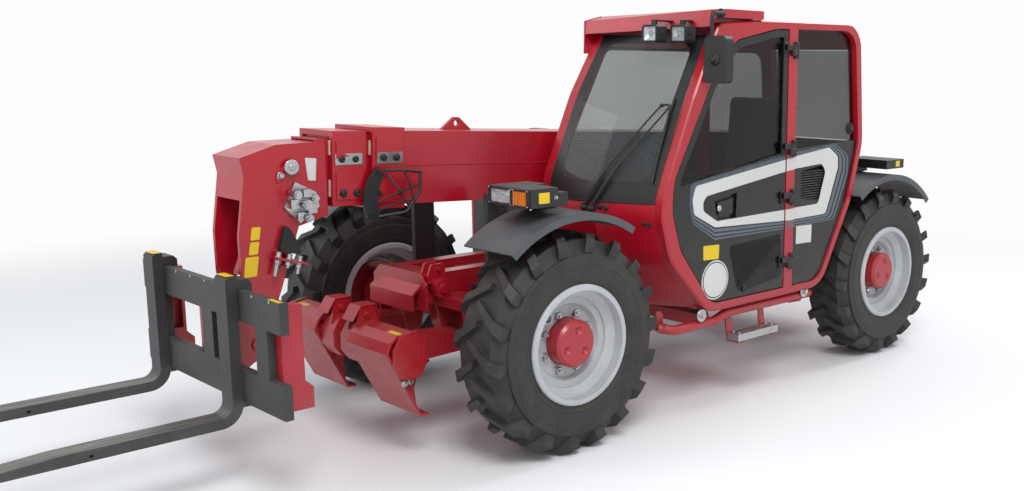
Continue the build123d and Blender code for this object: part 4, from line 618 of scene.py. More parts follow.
plate_on_side("door_yellow_plate", (
    (-0.862, 0.868), (-0.985, 0.862), (-0.982, 0.787), (-0.864, 0.793)), DOOR_FACE, vinyl_yellow, "door")
plate_on_side("rear_panel_white_plate", (
    (-1.650, 0.888), (-1.795, 0.884), (-1.793, 0.782), (-1.650, 0.786)), REAR_PANEL_FACE, vinyl_white,
    "chassis")
plate_on_side("door_lower_pane", (
    (-1.060, 0.846), (-1.496, 0.863), (-1.506, 0.625), (-1.320, 0.600), (-1.137, 0.592)), DOOR_FACE,
    cab_glass_finish, "door", 0.03, 0.002)
disc_place = from_axle(-0.956, DOOR_FACE, 0.679)
for name, radius, lift, material in (
        ("door_disc_white", 0.104, 0.0, vinyl_white), ("door_disc_ring", 0.096, FILM, vinyl_black),
        ("door_disc_face", 0.091, 2 * FILM, vinyl_white)):
    build = bmesh.new()
    add_disc(build, disc_place + Vector((0, lift, 0)), LEFT, radius, FILM, 0.0002, 64)
    piece(name, build, material, "door")

# round check stud low on the door, and the button and key in the handle's recess
build = bmesh.new()
add_disc(build, from_axle(-1.185, DOOR_FACE, 0.600), LEFT, 0.017, 0.014, 0.005)
piece("door_stud", build, black_rubber, "door")
build = bmesh.new()
add_disc(build, from_axle(-0.985, DOOR_FACE - 0.006, 1.050), LEFT, 0.016, 0.006, 0.002)
add_disc(build, from_axle(-0.985, DOOR_FACE, 1.050), LEFT, 0.007, 0.003, 0.001)
piece("door_lock", build, bright_steel, "door")

# hinge leaves: black cast plates over the pillar's and the door's sides of each hinge
HINGE_ZS = (0.700, 1.060, 1.330, 1.860)
PILLAR_LEAF, DOOR_LEAF = 0.012, 0.009    # how thick the leaves are
pillar_leaves, door_leaves, hinge_bolts, door_hinge_bolts = new_meshes(4)
for z in HINGE_ZS:
    leaf = rectangle(-1.604, -1.572, z - 0.046, z + 0.046)
    add_prism(pillar_leaves, side_outline(leaf, PILLAR_FACE, 0.008), (0, PILLAR_LEAF, 0))
    add_turned(pillar_leaves, aimed(from_axle(-1.545, 0.918, z - 0.031), UP), [
        (0.0122, 0), (0.0145, 0), (0.0145, 0.030), (0.0122, 0.030), (0.0122, 0)], 24)
    leaf = rectangle(-1.518, -1.478, z - 0.030, z + 0.040)
    add_prism(door_leaves, side_outline(leaf, DOOR_FACE, 0.008), (0, DOOR_LEAF, 0))
    for height in (z - 0.028, z + 0.028):
        add_screw(hinge_bolts, from_axle(-1.588, PILLAR_FACE + PILLAR_LEAF, height), LEFT, 0.007)
    for height in (z - 0.016, z + 0.026):
        add_screw(door_hinge_bolts, from_axle(-1.492, DOOR_FACE + DOOR_LEAF, height), LEFT, 0.006)
piece("hinge_leaves", pillar_leaves, black_enamel, "chassis", 0.002)
piece("door_hinge_leaves", door_leaves, black_enamel, "door", 0.002)
piece("hinge_screws", hinge_bolts, black_enamel, "chassis")
piece("door_hinge_screws", door_hinge_bolts, black_enamel, "door")

# round catch on the rear side pane, to open it by
build = bmesh.new()
add_disc(build, from_axle(-2.161, GLASS_FACE, 1.416), LEFT, 0.034, 0.012, 0.004)
add_disc(build, from_axle(-2.161, GLASS_FACE + 0.012, 1.416), LEFT, 0.020, 0.010, 0.004)
piece("rear_pane_catch", build, black_grained, "chassis")

# ---------------------------------------------------------------- windscreen: printed border, wipers, washers
screen_skin = skin_of("cab_glass")
cowl_skin = skin_of("cab_tub")
SCREEN_Y = (0.264, 0.841)
SCREEN_Z = (1.102, 1.925)
SCREEN_BORDER = (0.050, 0.105, 0.040)    # width of the black border at the sides, the foot and the top


def on_screen(y, z, lift):
    """A point at one Y and Z that stands off the windscreen."""
    return front_of(screen_skin, y, z, lift)[0]


def screen_border():
    """The black enamel border baked on the windscreen, following its curve."""
    steps = 28
    outer, inner = [], []
    low = (SCREEN_Y[0] + SCREEN_BORDER[0], SCREEN_Z[0] + SCREEN_BORDER[1])
    high = (SCREEN_Y[1] - SCREEN_BORDER[0], SCREEN_Z[1] - SCREEN_BORDER[2])
    corners = [Vector(corner) for corner in rectangle(*SCREEN_Y, *SCREEN_Z)]
    inside = [Vector(corner) for corner in rectangle(low[0], high[0], low[1], high[1])]
    for line, ends in ((outer, corners), (inner, inside)):
        for start, end in zip(ends, ends[1:] + ends[:1]):
            line += [start.lerp(end, step / steps) for step in range(steps)]
    middle = Vector(((low[0] + high[0]) / 2, (low[1] + high[1]) / 2))
    half = Vector(((high[0] - low[0]) / 2, (high[1] - low[1]) / 2))
    corner = 0.06
    for index, point in enumerate(inner):
        offset = point - middle
        over = Vector((max(abs(offset.x) - half.x + corner, 0), max(abs(offset.y) - half.y + corner, 0)))
        if over.x > 0 and over.y > 0:
            shrink = over.normalized() * corner
            inner[index] = middle + Vector((
                (half.x - corner + shrink.x) * (1 if offset.x > 0 else -1),
                (half.y - corner + shrink.y) * (1 if offset.y > 0 else -1)))
    build = bmesh.new()
    bands = 4
    rings = []
    for band in range(bands + 1):
        line = [a.lerp(b, band / bands) for a, b in zip(outer, inner)]
        rings.append([build.verts.new(on_screen(*point, 0.0006)) for point in line])
    for near, far in zip(rings, rings[1:]):
        join(build, near, far)
    piece("windscreen_border", build, vinyl_black, "chassis")


screen_border()


def wiper():
    """Two parallel arms from the cowl and the blade that they carry along the outer edge of the glass."""
    arms, caps, blade, rubber = new_meshes(4)
    for foot, knee, bend, tip in (
            ((0.510, 1.086), (0.590, 1.265), (0.715, 1.505), (0.752, 1.572)),
            ((0.550, 1.082), (0.645, 1.288), (0.762, 1.507), (0.790, 1.568))):
        base, normal = front_of(cowl_skin, foot[0], foot[1] - 0.012)
        add_disc(caps, base, normal, 0.019, 0.030, 0.006)
        add_disc(caps, base + normal * 0.028, normal, 0.012, 0.012, 0.003)
        start = base + normal * 0.024
        lower = [start, start.lerp(on_screen(*knee, 0.030), 0.5) + normal * 0.008, on_screen(*knee, 0.030)]
        add_bar(arms, smooth_path(lower), lambda t: 0.011 - 0.004 * t, 10)
        upper = [on_screen(*knee, 0.030), on_screen(*bend, 0.024), on_screen(*tip, 0.020)]
        add_bar(arms, smooth_path(upper), 0.0048, 10)
        add_disc(caps, on_screen(*tip, 0.012), front_of(screen_skin, *tip)[1], 0.009, 0.016, 0.003, 16)
    line = [(0.800, 1.610), (0.797, 1.50), (0.800, 1.40), (0.805, 1.30), (0.812, 1.20)]
    add_bar(blade, smooth_path([on_screen(y, z, 0.013) for y, z in line]), 0.0060, 8)
    add_bar(rubber, smooth_path([on_screen(y, z, 0.0055) for y, z in line]), 0.0034, 8)
    bridge = ((0.752, 1.572, 0.022), (0.790, 1.568, 0.024), (0.799, 1.50, 0.020), (0.803, 1.37, 0.017))
    add_bar(blade, smooth_path([on_screen(*point) for point in bridge]), 0.0055, 8)
    piece("wiper_arms", arms, black_enamel, "chassis")
    piece("wiper_caps", caps, black_grained, "chassis")
    piece("wiper_blade", blade, black_enamel, "chassis")
    piece("wiper_rubber", rubber, black_rubber, "chassis")


wiper()

# washer nozzles on the cowl and the two plugs behind the front fender
build = bmesh.new()
for y, z, radius in ((0.585, 1.080, 0.011), (0.615, 1.076, 0.009)):
    place, normal = front_of(cowl_skin, y, z)
    add_turned(build, aimed(place, normal), [
        (0, 0), (radius * 1.5, 0), (radius * 1.5, 0.004), (radius, 0.006), (radius, 0.016),
        (radius * 0.6, 0.021), (0, 0.021)], 20)
for y, z in ((0.790, 1.004), (0.815, 0.999)):
    place, normal = front_of(cowl_skin, y, z)
    add_screw(build, place, normal, 0.012)
piece("cowl_fittings", build, black_grained, "chassis")


def cowl_seal():
    """Rubber strip between the windscreen's foot and the cowl."""
    build = bmesh.new()
    line = []
    for step in range(25):
        y = SCREEN_Y[0] + (SCREEN_Y[1] - SCREEN_Y[0]) * step / 24
        line.append(front_of(screen_skin, y, SCREEN_Z[0] + 0.002, 0.0)[0])
    add_bar(build, line, 0.005, 8)
    piece("windscreen_foot_seal", build, black_rubber, "chassis")


cowl_seal()

# ---------------------------------------------------------------- lamps
LAMP_BASE = 1.159
LENS_Z = (LAMP_BASE + 0.012, LAMP_BASE + 0.072)
HEADLAMP_Y = (0.625, 0.770)
INDICATOR_Y = (0.798, 0.882)
LAMP_RECESS = 0.240              # floor of the lamps' recesses, from the front axle
LENS_BOW = 0.003
WORK_LAMPS = (
    # X from the front axle, Y
    (-0.710, 0.690), (-0.800, 0.800),
)


def lamp_unit(low, high, depth, shells, bowls, bulbs):
    """A bowed lens shell, a dished reflector behind it and its bulb, in a box that faces forwards."""
    middle = (low + high) / 2
    half = (high - low) / 2
    columns, rows = 14, 8

    def sheet(build, reach, bow):
        grid = []
        for row in range(rows + 1):
            line = []
            for column in range(columns + 1):
                v, w = 2 * column / columns - 1, 2 * row / rows - 1
                lift = bow * (1 - v ** 2) * (1 - w ** 2)
                line.append(build.verts.new((reach + lift, middle.y + v * half.y, middle.z + w * half.z)))
            grid.append(line)
        for near, far in zip(grid, grid[1:]):
            join(build, near, far, closed=False)
        return grid

    front = sheet(shells, high.x, LENS_BOW)
    back = sheet(shells, high.x - 0.0025, LENS_BOW)
    for end in (0, -1):
        join(shells, front[end], back[end], closed=False)
    for end in (0, -1):
        join(shells, [row[end] for row in front], [row[end] for row in back], closed=False)
    sheet(bowls, high.x - 0.004, -depth)
    sheet(bowls, high.x - 0.0055, -depth)
    centre = Vector((high.x - depth - 0.004, middle.y, middle.z))
    at = aimed(centre, AHEAD)
    add_turned(bulbs, at, [(0, 0), (0.006, 0), (0.006, 0.005), (0.0045, 0.009), (0, 0.011)], 16)
    add_turned(bulbs, at, [(0, 0), (0.013, 0), (0.013, 0.002), (0, 0.002)], 20)


shells, bowls, bulbs = new_meshes(3)
for side in (1, -1):
    ys = sorted((side * HEADLAMP_Y[0], side * HEADLAMP_Y[1]))
    low = from_axle(LAMP_RECESS, ys[0] + 0.0005, LENS_Z[0] + 0.0005)
    high = from_axle(LAMP_RECESS + 0.015, ys[1] - 0.0005, LENS_Z[1] - 0.0005)
    lamp_unit(low, high, 0.011, shells, bowls, bulbs)
for u, y in WORK_LAMPS:
    low, high = from_axle(u + 0.022, y - 0.042, 1.895), from_axle(u + 0.034, y + 0.042, 1.962)
    lamp_unit(low, high, 0.010, shells, bowls, bulbs)
lens = piece("lamp_shells", shells, clear_lens, "chassis")
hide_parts("lamp_lenses")
piece("lamp_reflectors", bowls, mirror_silver, "chassis")
piece("lamp_bulbs", bulbs, bright_steel, "chassis")

# screws, side plates and the indicator's ribs on the lamp boxes; red and amber lenses on the rear boxes
screws, ribs, rear_red, rear_amber = new_meshes(4)
rear_face = REAR_X - 0.130
for side in (1, -1):
    for y in (HEADLAMP_Y[0] - 0.006, HEADLAMP_Y[1] + 0.006, INDICATOR_Y[0] - 0.006, INDICATOR_Y[1] + 0.006):
        for z in (LAMP_BASE + 0.008, LAMP_BASE + 0.076):
            add_screw(screws, from_axle(0.262, side * y, z), AHEAD, 0.0032)
    add_bolt(screws, from_axle(0.110, side * 0.900, LAMP_BASE + 0.040), (0, side, 0), 0.013)
    add_bolt(screws, from_axle(0.235, side * 0.880, LAMP_BASE - 0.001), (0, 0, -1), 0.010)
    for step in range(5):
        y = side * (INDICATOR_Y[0] + 0.012 + step * (INDICATOR_Y[1] - INDICATOR_Y[0] - 0.024) / 4)
        add_bar(ribs, [from_axle(0.268, y, z) for z in (LENS_Z[0] + 0.004, LENS_Z[1] - 0.004)], 0.003, 10)
    for build, low, high in ((rear_red, 0.700, 0.790), (rear_amber, 0.800, 0.860), (rear_red, 0.870, 0.920)):
        ys = sorted((side * low, side * high))
        lens_outline = rectangle(*ys, LAMP_BASE + 0.008, LAMP_BASE + 0.046)
        add_prism(build, rounded([(rear_face, y, z) for y, z in lens_outline], 0.006), (-0.014, 0, 0))
piece("lamp_box_screws", screws, bright_steel, "chassis")
piece("indicator_ribs", ribs, amber_lens, "chassis")
piece("rear_lamps_red", rear_red, red_lens, "chassis", 0.002)
piece("rear_lamps_amber", rear_amber, amber_lens, "chassis", 0.002)
for side, name in ((1, "left"), (-1, "right")):
    build = bmesh.new()
    plate = rectangle(0.145, 0.205, LAMP_BASE + 0.018, LAMP_BASE + 0.066)
    add_prism(build, side_outline(plate, side * 0.900, 0.004), (0, side * FILM, 0))
    piece("lamp_box_plate_" + name, build, vinyl_yellow, "chassis")
    build = bmesh.new()
    plate = rectangle(REAR_X - 0.085, REAR_X - 0.040, LAMP_BASE + 0.010, LAMP_BASE + 0.046)
    add_prism(build, [Vector((x, side * 0.940, z)) for x, z in plate], (0, side * FILM, 0))
    piece("rear_box_plate_" + name, build, vinyl_yellow, "chassis")

# work lamps: cooling fins behind, bezels in front, and side pivots
fins, bezels = new_meshes(2)
for u, y in WORK_LAMPS:
    for step in range(4):
        z = 1.902 + step * 0.015
        add_box(fins, from_axle(u - 0.041, y - 0.040, z), from_axle(u - 0.035, y + 0.040, z + 0.005))
    for side in (1, -1):
        add_disc(fins, from_axle(u, y + side * 0.052, 1.930), (0, side, 0), 0.012, 0.006, 0.002, 20)
    bezel = [from_axle(u + 0.036, *corner) for corner in rectangle(y - 0.047, y + 0.047, 1.890, 1.967)]
    add_bar(bezels, rounded(bezel, 0.014), 0.004, 8, closed=True)
piece("work_lamp_fins", fins, black_grained, "chassis", 0.001)
piece("work_lamp_bezels", bezels, black_grained, "chassis")

# ---------------------------------------------------------------- mirrors
left_low, left_high = from_axle(-0.890, 0.910, 1.690), from_axle(-0.835, 1.055, 1.920)
right_low, right_high = Vector((FRONT_X - 1.342, -1.055, 1.200)), Vector((FRONT_X - 1.294, -0.865, 1.360))
MIRROR_MARGIN = 0.009            # of the housing round the glass
for name, low, high, body in (
        ("left", left_low, left_high, "chassis"), ("right", right_low, right_high, "engine_lid")):
    glass = rectangle(
        low.y + MIRROR_MARGIN, high.y - MIRROR_MARGIN, low.z + MIRROR_MARGIN, high.z - MIRROR_MARGIN)
    ring = rounded([(low.x, y, z) for y, z in glass], 0.024)
    build = bmesh.new()
    add_prism(build, ring, (-0.0012, 0, 0))
    piece("mirror_glass_" + name, build, mirror_silver, body)
    build = bmesh.new()
    add_bar(build, [point + Vector((-0.001, 0, 0)) for point in ring], 0.0035, 8, closed=True)
    piece("mirror_rim_" + name, build, black_rubber, body)
    middle = (low + high) / 2
    build = bmesh.new()
    add_turned(build, aimed(Vector((high.x, middle.y, middle.z)), AHEAD), [
        (0, 0), (0.030, 0), (0.030, 0.004), (0.022, 0.010), (0.015, 0.012), (0.015, 0.017), (0.011, 0.022),
        (0, 0.024)], 28)
    add_bar(build, [
        (high.x + 0.014, middle.y - 0.004, middle.z), (high.x + 0.014, middle.y - 0.030, middle.z + 0.004)],
        0.0055, 10)
    piece("mirror_clamp_" + name, build, black_grained, body, 0.001)

# rubber cover and bracket where the mirror's arm meets the visor's end plate
build = bmesh.new()
add_turned(build, aimed(from_axle(-0.960, 0.904, 2.030), LEFT), [
    (0.0105, 0), (0.026, 0), (0.026, 0.006), (0.017, 0.012), (0.015, 0.022), (0.0105, 0.026), (0.0105, 0)], 28)
add_bolt(build, from_axle(-0.960, 0.930, 2.030), LEFT, 0.010)
piece("mirror_arm_boot", build, black_rubber, "chassis")

# ---------------------------------------------------------------- wheels
NUT_COUNT = 8
NUT_CIRCLE = 0.140
DISC_OUT = 0.034                 # outer face of the wheel disc, from the wheel's middle plane


def wheel_trim(corner, x, side):
    """Nuts and studs on the disc, the valve with its guard, and a small blank plate."""
    body = "wheel_" + corner
    out = Vector((0, side, 0))
    face = Vector((x, side * (WHEEL_Y + DISC_OUT), AXLE_Z))
    nuts, studs, hub, plate = new_meshes(4)
    for step in range(NUT_COUNT):
        angle = 2 * pi * (step + 0.5) / NUT_COUNT
        place = face + Vector((cos(angle), 0, sin(angle))) * NUT_CIRCLE
        add_bolt(nuts, place, out, 0.032, angle)
        add_turned(studs, aimed(place + out * 0.020, out), [
            (0, 0), (0.0075, 0), (0.0075, 0.011), (0.006, 0.0135), (0, 0.0135)], 14)
    piece("wheel_nuts_" + corner, nuts, bright_steel, body)
    piece("wheel_studs_" + corner, studs, bright_steel, body)
    valve = face + Vector((0.130, 0, 0.131))
    add_turned(hub, aimed(valve, out), [
        (0.019, 0), (0.025, 0), (0.025, 0.040), (0.019, 0.040), (0.019, 0)], 24)
    add_turned(hub, aimed(valve, out), [
        (0, 0), (0.005, 0), (0.005, 0.020), (0.0065, 0.020), (0.0065, 0.030), (0, 0.030)], 14)
    piece("valve_" + corner, hub, wheel_enamel, body)
    corners = ((-0.130, 0.120), (-0.096, 0.146), (-0.108, 0.162), (-0.142, 0.136))
    add_prism(plate, rounded([face + Vector((x, 0, z)) for x, z in corners], 0.003), out * FILM)
    piece("wheel_plate_" + corner, plate, vinyl_yellow, body)


def tyre_wall(corner, x, side):
    """Smooth bulging outer and inner walls over the carcass, with two moulded rings on each."""
    build = bmesh.new()
    for way in (1, -1):
        at = aimed((x, side * WHEEL_Y, AXLE_Z), (0, way, 0))
        profile = [(0.268, 0.128), (0.276, 0.133)]
        for step in range(1, 15):
            share = step / 14
            radius = 0.280 + share * 0.138
            bulge = 0.1345 + 0.0215 * sin(pi * min(share * 1.05, 1.0) ** 0.75 * 0.62)
            if step in (3, 10):
                raised = bulge + 0.0018
                profile += [(radius - 0.0045, bulge), (radius - 0.002, raised), (radius + 0.002, raised)]
            profile.append((radius + 0.0045 if step in (3, 10) else radius, bulge))
        profile += [(0.4215, 0.150), (0.4215, 0.120)]
        add_turned(build, at, profile, 96)
    piece("tyre_wall_" + corner, build, tread_rubber, "wheel_" + corner)


for corner, x, side in WHEELS:
    wheel_trim(corner, x, side)
    tyre_wall(corner, x, side)

# ---------------------------------------------------------------- boom
OUTER_SIDE = 0.150
OUTER_CHEEK = 0.174


def on_boom(reach, y, height):
    """A point of the boom: along it from the pivot, sideways, and above its centre line."""
    return BOOM_FRAME @ Vector((reach, y, height))


def boom_trim():
    """Lower collar screws, weld seams and the ends of the wear pads."""
    outer_bolts, seams, middle_pads, outer_pads = new_meshes(4)
    pad_length = on_boom(0.004, 0, 0) - on_boom(0, 0, 0)
    for side in (1, -1):
        for reach in (2.785, 2.890):
            add_bolt(outer_bolts, on_boom(reach, side * OUTER_CHEEK, -0.120), (0, side, 0), 0.019)
        add_bar(seams, [on_boom(reach, side * OUTER_SIDE, 0.0) for reach in (-0.10, 2.745)], 0.003, 8)
        for build, reach, inner, outer in (
                (outer_pads, BOOM_REACH + 0.0002, 0.134, 0.149),
                (middle_pads, BOOM_REACH + 0.1872, 0.115, 0.130)):
            for low, high in ((-0.135, -0.060), (0.050, 0.115)):
                corners = rectangle(side * inner, side * outer, low, high)
                add_prism(build, [on_boom(reach, *corner) for corner in corners], pad_length)
    piece("boom_collar_bolts", outer_bolts, black_enamel, "boom_outer")
    piece("boom_weld_seams", seams, weld_steel, "boom_outer")
    piece("boom_pad_ends", outer_pads, pale_nylon, "boom_outer", 0.001)
    piece("boom_middle_pad_ends", middle_pads, pale_nylon, "boom_middle", 0.001)


boom_trim()

# ---------------------------------------------------------------- step screws and the cab mounts' washers and bolts
def body_bolts():
    """Screws of the step and the washers of the cab's mounts."""
    step_bolts, disc = new_meshes(2)
    for u in (-1.125, -1.400):
        for y in (0.885, 0.925):
            add_screw(step_bolts, from_axle(u, y, 0.368), UP, 0.007)
    for u, y in ((-0.873, 0.879), (-1.741, 0.884)):
        add_disc(disc, from_axle(u, y, 0.500), LEFT, 0.034, 0.006, 0.002)
        add_bolt(disc, from_axle(u, y + 0.006, 0.500), LEFT, 0.024)
    piece("step_screws", step_bolts, bright_steel, "chassis")
    piece("cab_mount_washers", disc, bright_steel, "chassis")


body_bolts()


# ---------------------------------------------------------------- boom head, carriage and stabilisers
def side_plate(name, skin, corners, material, body, thick=FILM, radius=0.006):
    """A blank plate laid on a surface's left side."""
    points = [side_of(skin, u, z) for u, z in corners]
    build = bmesh.new()
    add_prism(build, rounded(points, radius), (0, thick, 0))
    return piece(name, build, material, body)


head_skin = skin_of("boom_inner")
middle_skin = skin_of("boom_middle")
outer_skin = skin_of("boom_outer")
fork_skin = skin_of("forks")
FORK_Y = (-0.480, 0.255)         # middles of the two forks


def collar_clamps():
    """Pale clamp plates with two screws each on the collars' upper edges, and black screws below."""
    for name, skin, body, places in (
            ("middle", middle_skin, "boom_middle", ((0.710, 1.352), (0.643, 1.350))),
            ("outer", outer_skin, "boom_outer", ((0.516, 1.350), (0.448, 1.347)))):
        (front, front_z), (back, back_z) = places
        side_plate("clamp_plate_" + name, skin, (
            (front + 0.032, front_z + 0.024), (back - 0.032, back_z + 0.024), (back - 0.032, back_z - 0.026), (
                front + 0.032, front_z - 0.026)), pressed_aluminium, body, 0.005)
        screws = bmesh.new()
        for u, z in places:
            place = side_of(skin, u, z, 0.005)
            add_disc(screws, place, LEFT, 0.017, 0.003, 0.001, 24)
            add_screw(screws, place + Vector((0, 0.003, 0)), LEFT, 0.0135)
        piece("clamp_screws_" + name, screws, black_enamel, body)
    lower = bmesh.new()
    for u, z in ((0.712, 1.200), (0.645, 1.197)):
        place = side_of(middle_skin, u, z)
        add_disc(lower, place, LEFT, 0.019, 0.003, 0.001, 24)
        add_screw(lower, place + Vector((0, 0.003, 0)), LEFT, 0.015)
    piece("collar_lower_screws", lower, black_enamel, "boom_middle")


collar_clamps()

side_plate("head_white_plate", head_skin, (
    (0.872, 1.366), (0.818, 1.360), (0.826, 1.262), (0.862, 1.266)), vinyl_white, "boom_inner")
for index, corners in enumerate((
        ((1.126, 1.085), (1.086, 1.085), (1.095, 1.030), (1.135, 1.030)),
        ((1.136, 1.022), (1.096, 1.022), (1.106, 0.968), (1.146, 0.968)),
        ((1.160, 0.960), (1.102, 0.960), (1.116, 0.874), (1.172, 0.874)))):
    side_plate("head_yellow_plate_" + str(index), head_skin, corners, vinyl_yellow, "boom_inner")


def head_pins():
    """The washer that keeps the tilt cylinder's upper pin, and the screw beside it."""
    build = bmesh.new()
    place = side_of(head_skin, 0.945, 1.330)
    add_disc(build, place, LEFT, 0.033, 0.012, 0.003)
    add_disc(build, place + Vector((0, 0.012, 0)), LEFT, 0.014, 0.006, 0.002)
    add_bolt(build, side_of(head_skin, 0.990, 1.296), LEFT, 0.022)
    piece("head_pin_washer", build, bright_steel, "boom_inner")


head_pins()


def hose_couplings():
    """A black tapered boot, and three plated hose ends under it in a red bracket."""
    boot, ends, bracket = new_meshes(3)
    side = side_of(head_skin, 1.000, 1.000).y
    boot_outline = ((0.985, 1.095), (1.025, 0.975), (0.915, 0.945), (0.945, 1.020))
    add_prism(boot, side_outline(boot_outline, side, 0.02), (0, 0.034, 0))
    piece("hose_boot", boot, black_rubber, "boom_inner", 0.006)
    plate = ((1.045, 0.955), (0.905, 0.912), (0.900, 0.902), (1.050, 0.944))
    add_prism(bracket, side_outline(plate, side), (0, 0.052, 0))
    piece("hose_bracket", bracket, red_enamel, "boom_inner", 0.002)
    for u, z, length in ((1.025, 0.950, 0.105), (0.978, 0.936, 0.060), (0.930, 0.920, 0.078)):
        start = from_axle(u, side + 0.028, z + 0.022)
        down = Vector((0.25, 0, -1)).normalized()
        add_turned(ends, aimed(start, down), [
            (0, 0), (0.012, 0), (0.012, 0.016), (0.017, 0.018), (0.017, 0.034), (0.013, 0.036), (0.013, 0.050),
            (0.010, 0.053), (0.010, length), (0, length)], 20)
        add_turned(ends, aimed(start + down * 0.036, down), [
            (0, 0), (0.0165, 0), (0.0165, 0.012), (0, 0.012)], 6)
    piece("hose_ends", ends, bright_steel, "boom_inner")


hose_couplings()


def fork_trim():
    """Yellow plates on the forks' hooks and the end of the carriage's upper bar, and the bar's notch marks."""
    caps, bar, notches = new_meshes(3)
    for y in FORK_Y:
        height = top_of(fork_skin, 1.285 + 0.020, y).z
        corners = rectangle(1.289, 1.326, y - 0.046, y + 0.046)
        add_prism(caps, rounded([from_axle(u, v, height) for u, v in corners], 0.003), (0, 0, FILM))
    piece("fork_yellow_caps", caps, vinyl_yellow, "carriage")
    height = top_of(skin_of("fork_carriage"), 1.270, 0.600).z
    corners = rectangle(1.262, 1.282, 0.560, 0.655)
    add_prism(bar, [from_axle(u, v, height) for u, v in corners], (0, 0, FILM))
    piece("carriage_yellow_plate", bar, vinyl_yellow, "carriage")
    for step in range(9):
        y = -0.58 + step * 0.145
        if min(abs(y - fork_y) for fork_y in FORK_Y) < 0.07:
            continue
        low, high = from_axle(1.2855, y - 0.004, height - 0.012), from_axle(1.2862, y + 0.004, height - 0.001)
        add_box(notches, low, high)
    piece("carriage_notch_marks", notches, vinyl_white, "carriage")


fork_trim()


def stabiliser_trim():
    """A blank yellow plate on each box's top, and two plated screws on its outer side."""
    for name, sign in (("left", 1), ("right", -1)):
        skin = skin_of("stabiliser_" + name)
        build, latch = new_meshes(2)
        corners = [top_of(skin, u, sign * y, 0.0003) for u, y in rectangle(0.625, 0.650, 0.365, 0.455)]
        add_prism(build, corners, (0, 0, 0.0008))
        piece("stabiliser_plate_" + name, build, vinyl_yellow, "stabiliser_" + name)
        for u, z in ((0.640, 0.372), (0.600, 0.372)):
            place = side_of(skin, u, z, side=sign)
            add_disc(latch, place, (0, sign, 0), 0.016, 0.005, 0.0015, 24)
            add_bolt(latch, place + Vector((0, sign * 0.005, 0)), (0, sign, 0), 0.015)
        piece("stabiliser_latch_" + name, latch, bright_steel, "stabiliser_" + name)


stabiliser_trim()

# ---------------------------------------------------------------- driver's seat
SEAT_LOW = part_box("seat")[0]
PAD_INSET = 0.012                # a pad starts this much smaller on each side, and the pressure fills it out
PAD_CORNER = 0.028
PAD_MESH = 0.012
PAD_BULGE = 0.011                # the most that any point may move


def blown_pad(name, low, high, pressure):
    """A plain seat pad: a rounded block blown out as cloth, no point further than PAD_BULGE."""
    bpy.ops.mesh.primitive_cube_add(size=1, location=(low + high) / 2)
    cushion = bpy.context.object
    cushion.name = name
    cushion.scale = (high - low) - 2 * Vector((PAD_INSET, PAD_INSET, PAD_INSET))
    bpy.ops.object.transform_apply(location=False, rotation=False, scale=True)
    bevel = cushion.modifiers.new("corners", "BEVEL")
    bevel.width = PAD_CORNER
    bevel.segments = 4
    bpy.ops.object.modifier_apply(modifier="corners")
    even = cushion.modifiers.new("even", "REMESH")
    even.mode = "VOXEL"
    even.voxel_size = PAD_MESH
    bpy.ops.object.modifier_apply(modifier="even")
    rest = [vertex.co.copy() for vertex in cushion.data.vertices]
    cloth = cushion.modifiers.new("cloth", "CLOTH")
    cloth.settings.use_pressure = True
    cloth.settings.uniform_pressure_force = pressure
    cloth.settings.effector_weights.gravity = 0.0
    for step in range(1, 21):
        bpy.context.scene.frame_set(step)
    bpy.ops.object.modifier_apply(modifier="cloth")
    bpy.context.scene.frame_set(1)
    for vertex, start in zip(cushion.data.vertices, rest):
        moved = vertex.co - start
        if moved.length > PAD_BULGE:
            vertex.co = start + moved.normalized() * PAD_BULGE
    smooth = cushion.modifiers.new("smooth", "SUBSURF")
    smooth.levels = 1
    bpy.ops.object.modifier_apply(modifier="smooth")
    cushion.data.polygons.foreach_set("use_smooth", [True] * len(cushion.data.polygons))
    cushion.data.materials.clear()
    cushion.data.materials.append(seat_cloth)
    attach(cushion, "chassis")
    return cushion


cushion = blown_pad(
    "seat_cushion", from_axle(-1.738, 0.322, SEAT_LOW.z + 0.002), from_axle(-1.272, 0.778, 1.088), 4.0)
BACK_FOOT, BACK_TOP, BACK_HEIGHT, BACK_LEAN = 1.10, 1.616, 0.516, 0.055
back = blown_pad("seat_back", from_axle(-1.90, 0.334, BACK_FOOT), from_axle(-1.80, 0.766, BACK_TOP), 4.0)
# The lean takes heights above the ground, but the pad's own count from its middle: as well as leaning back,
# the whole pad stands about 0.15 m ahead of the solid's back.
for vertex in back.data.vertices:
    vertex.co.x += (BACK_TOP - vertex.co.z) / BACK_HEIGHT * BACK_LEAN
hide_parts("seat")
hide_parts("seat")

# ---------------------------------------------------------------- camera, lights, ground
STUDIO_WHITE = "#FDFDFD"


def make_camera():
    """The catalogue view of the machine, from its front left."""
    lens = bpy.data.cameras.new("catalogue_view")
    camera = bpy.data.objects.new("catalogue_view", lens)
    forward = Vector((-0.7203, -0.6710, -0.1757)).normalized()
    roll = radians(0.58)
    right = forward.cross(Vector((0, 0, 1))).normalized()
    up = right.cross(forward)
    leant_right = cos(roll) * right + sin(roll) * up
    leant_up = cos(roll) * up - sin(roll) * right
    axes = Matrix((leant_right, leant_up, -forward)).transposed()
    camera.matrix_world = Matrix.Translation(from_axle(3.159, 4.545, 1.788)) @ axes.to_4x4()
    lens.sensor_width = 36.0
    lens.lens = 37.95
    lens.shift_x = -0.173
    lens.shift_y = 0.0097
    lens.clip_start = 0.1
    lens.clip_end = 100.0
    bpy.context.scene.collection.objects.link(camera)
    bpy.context.scene.camera = camera


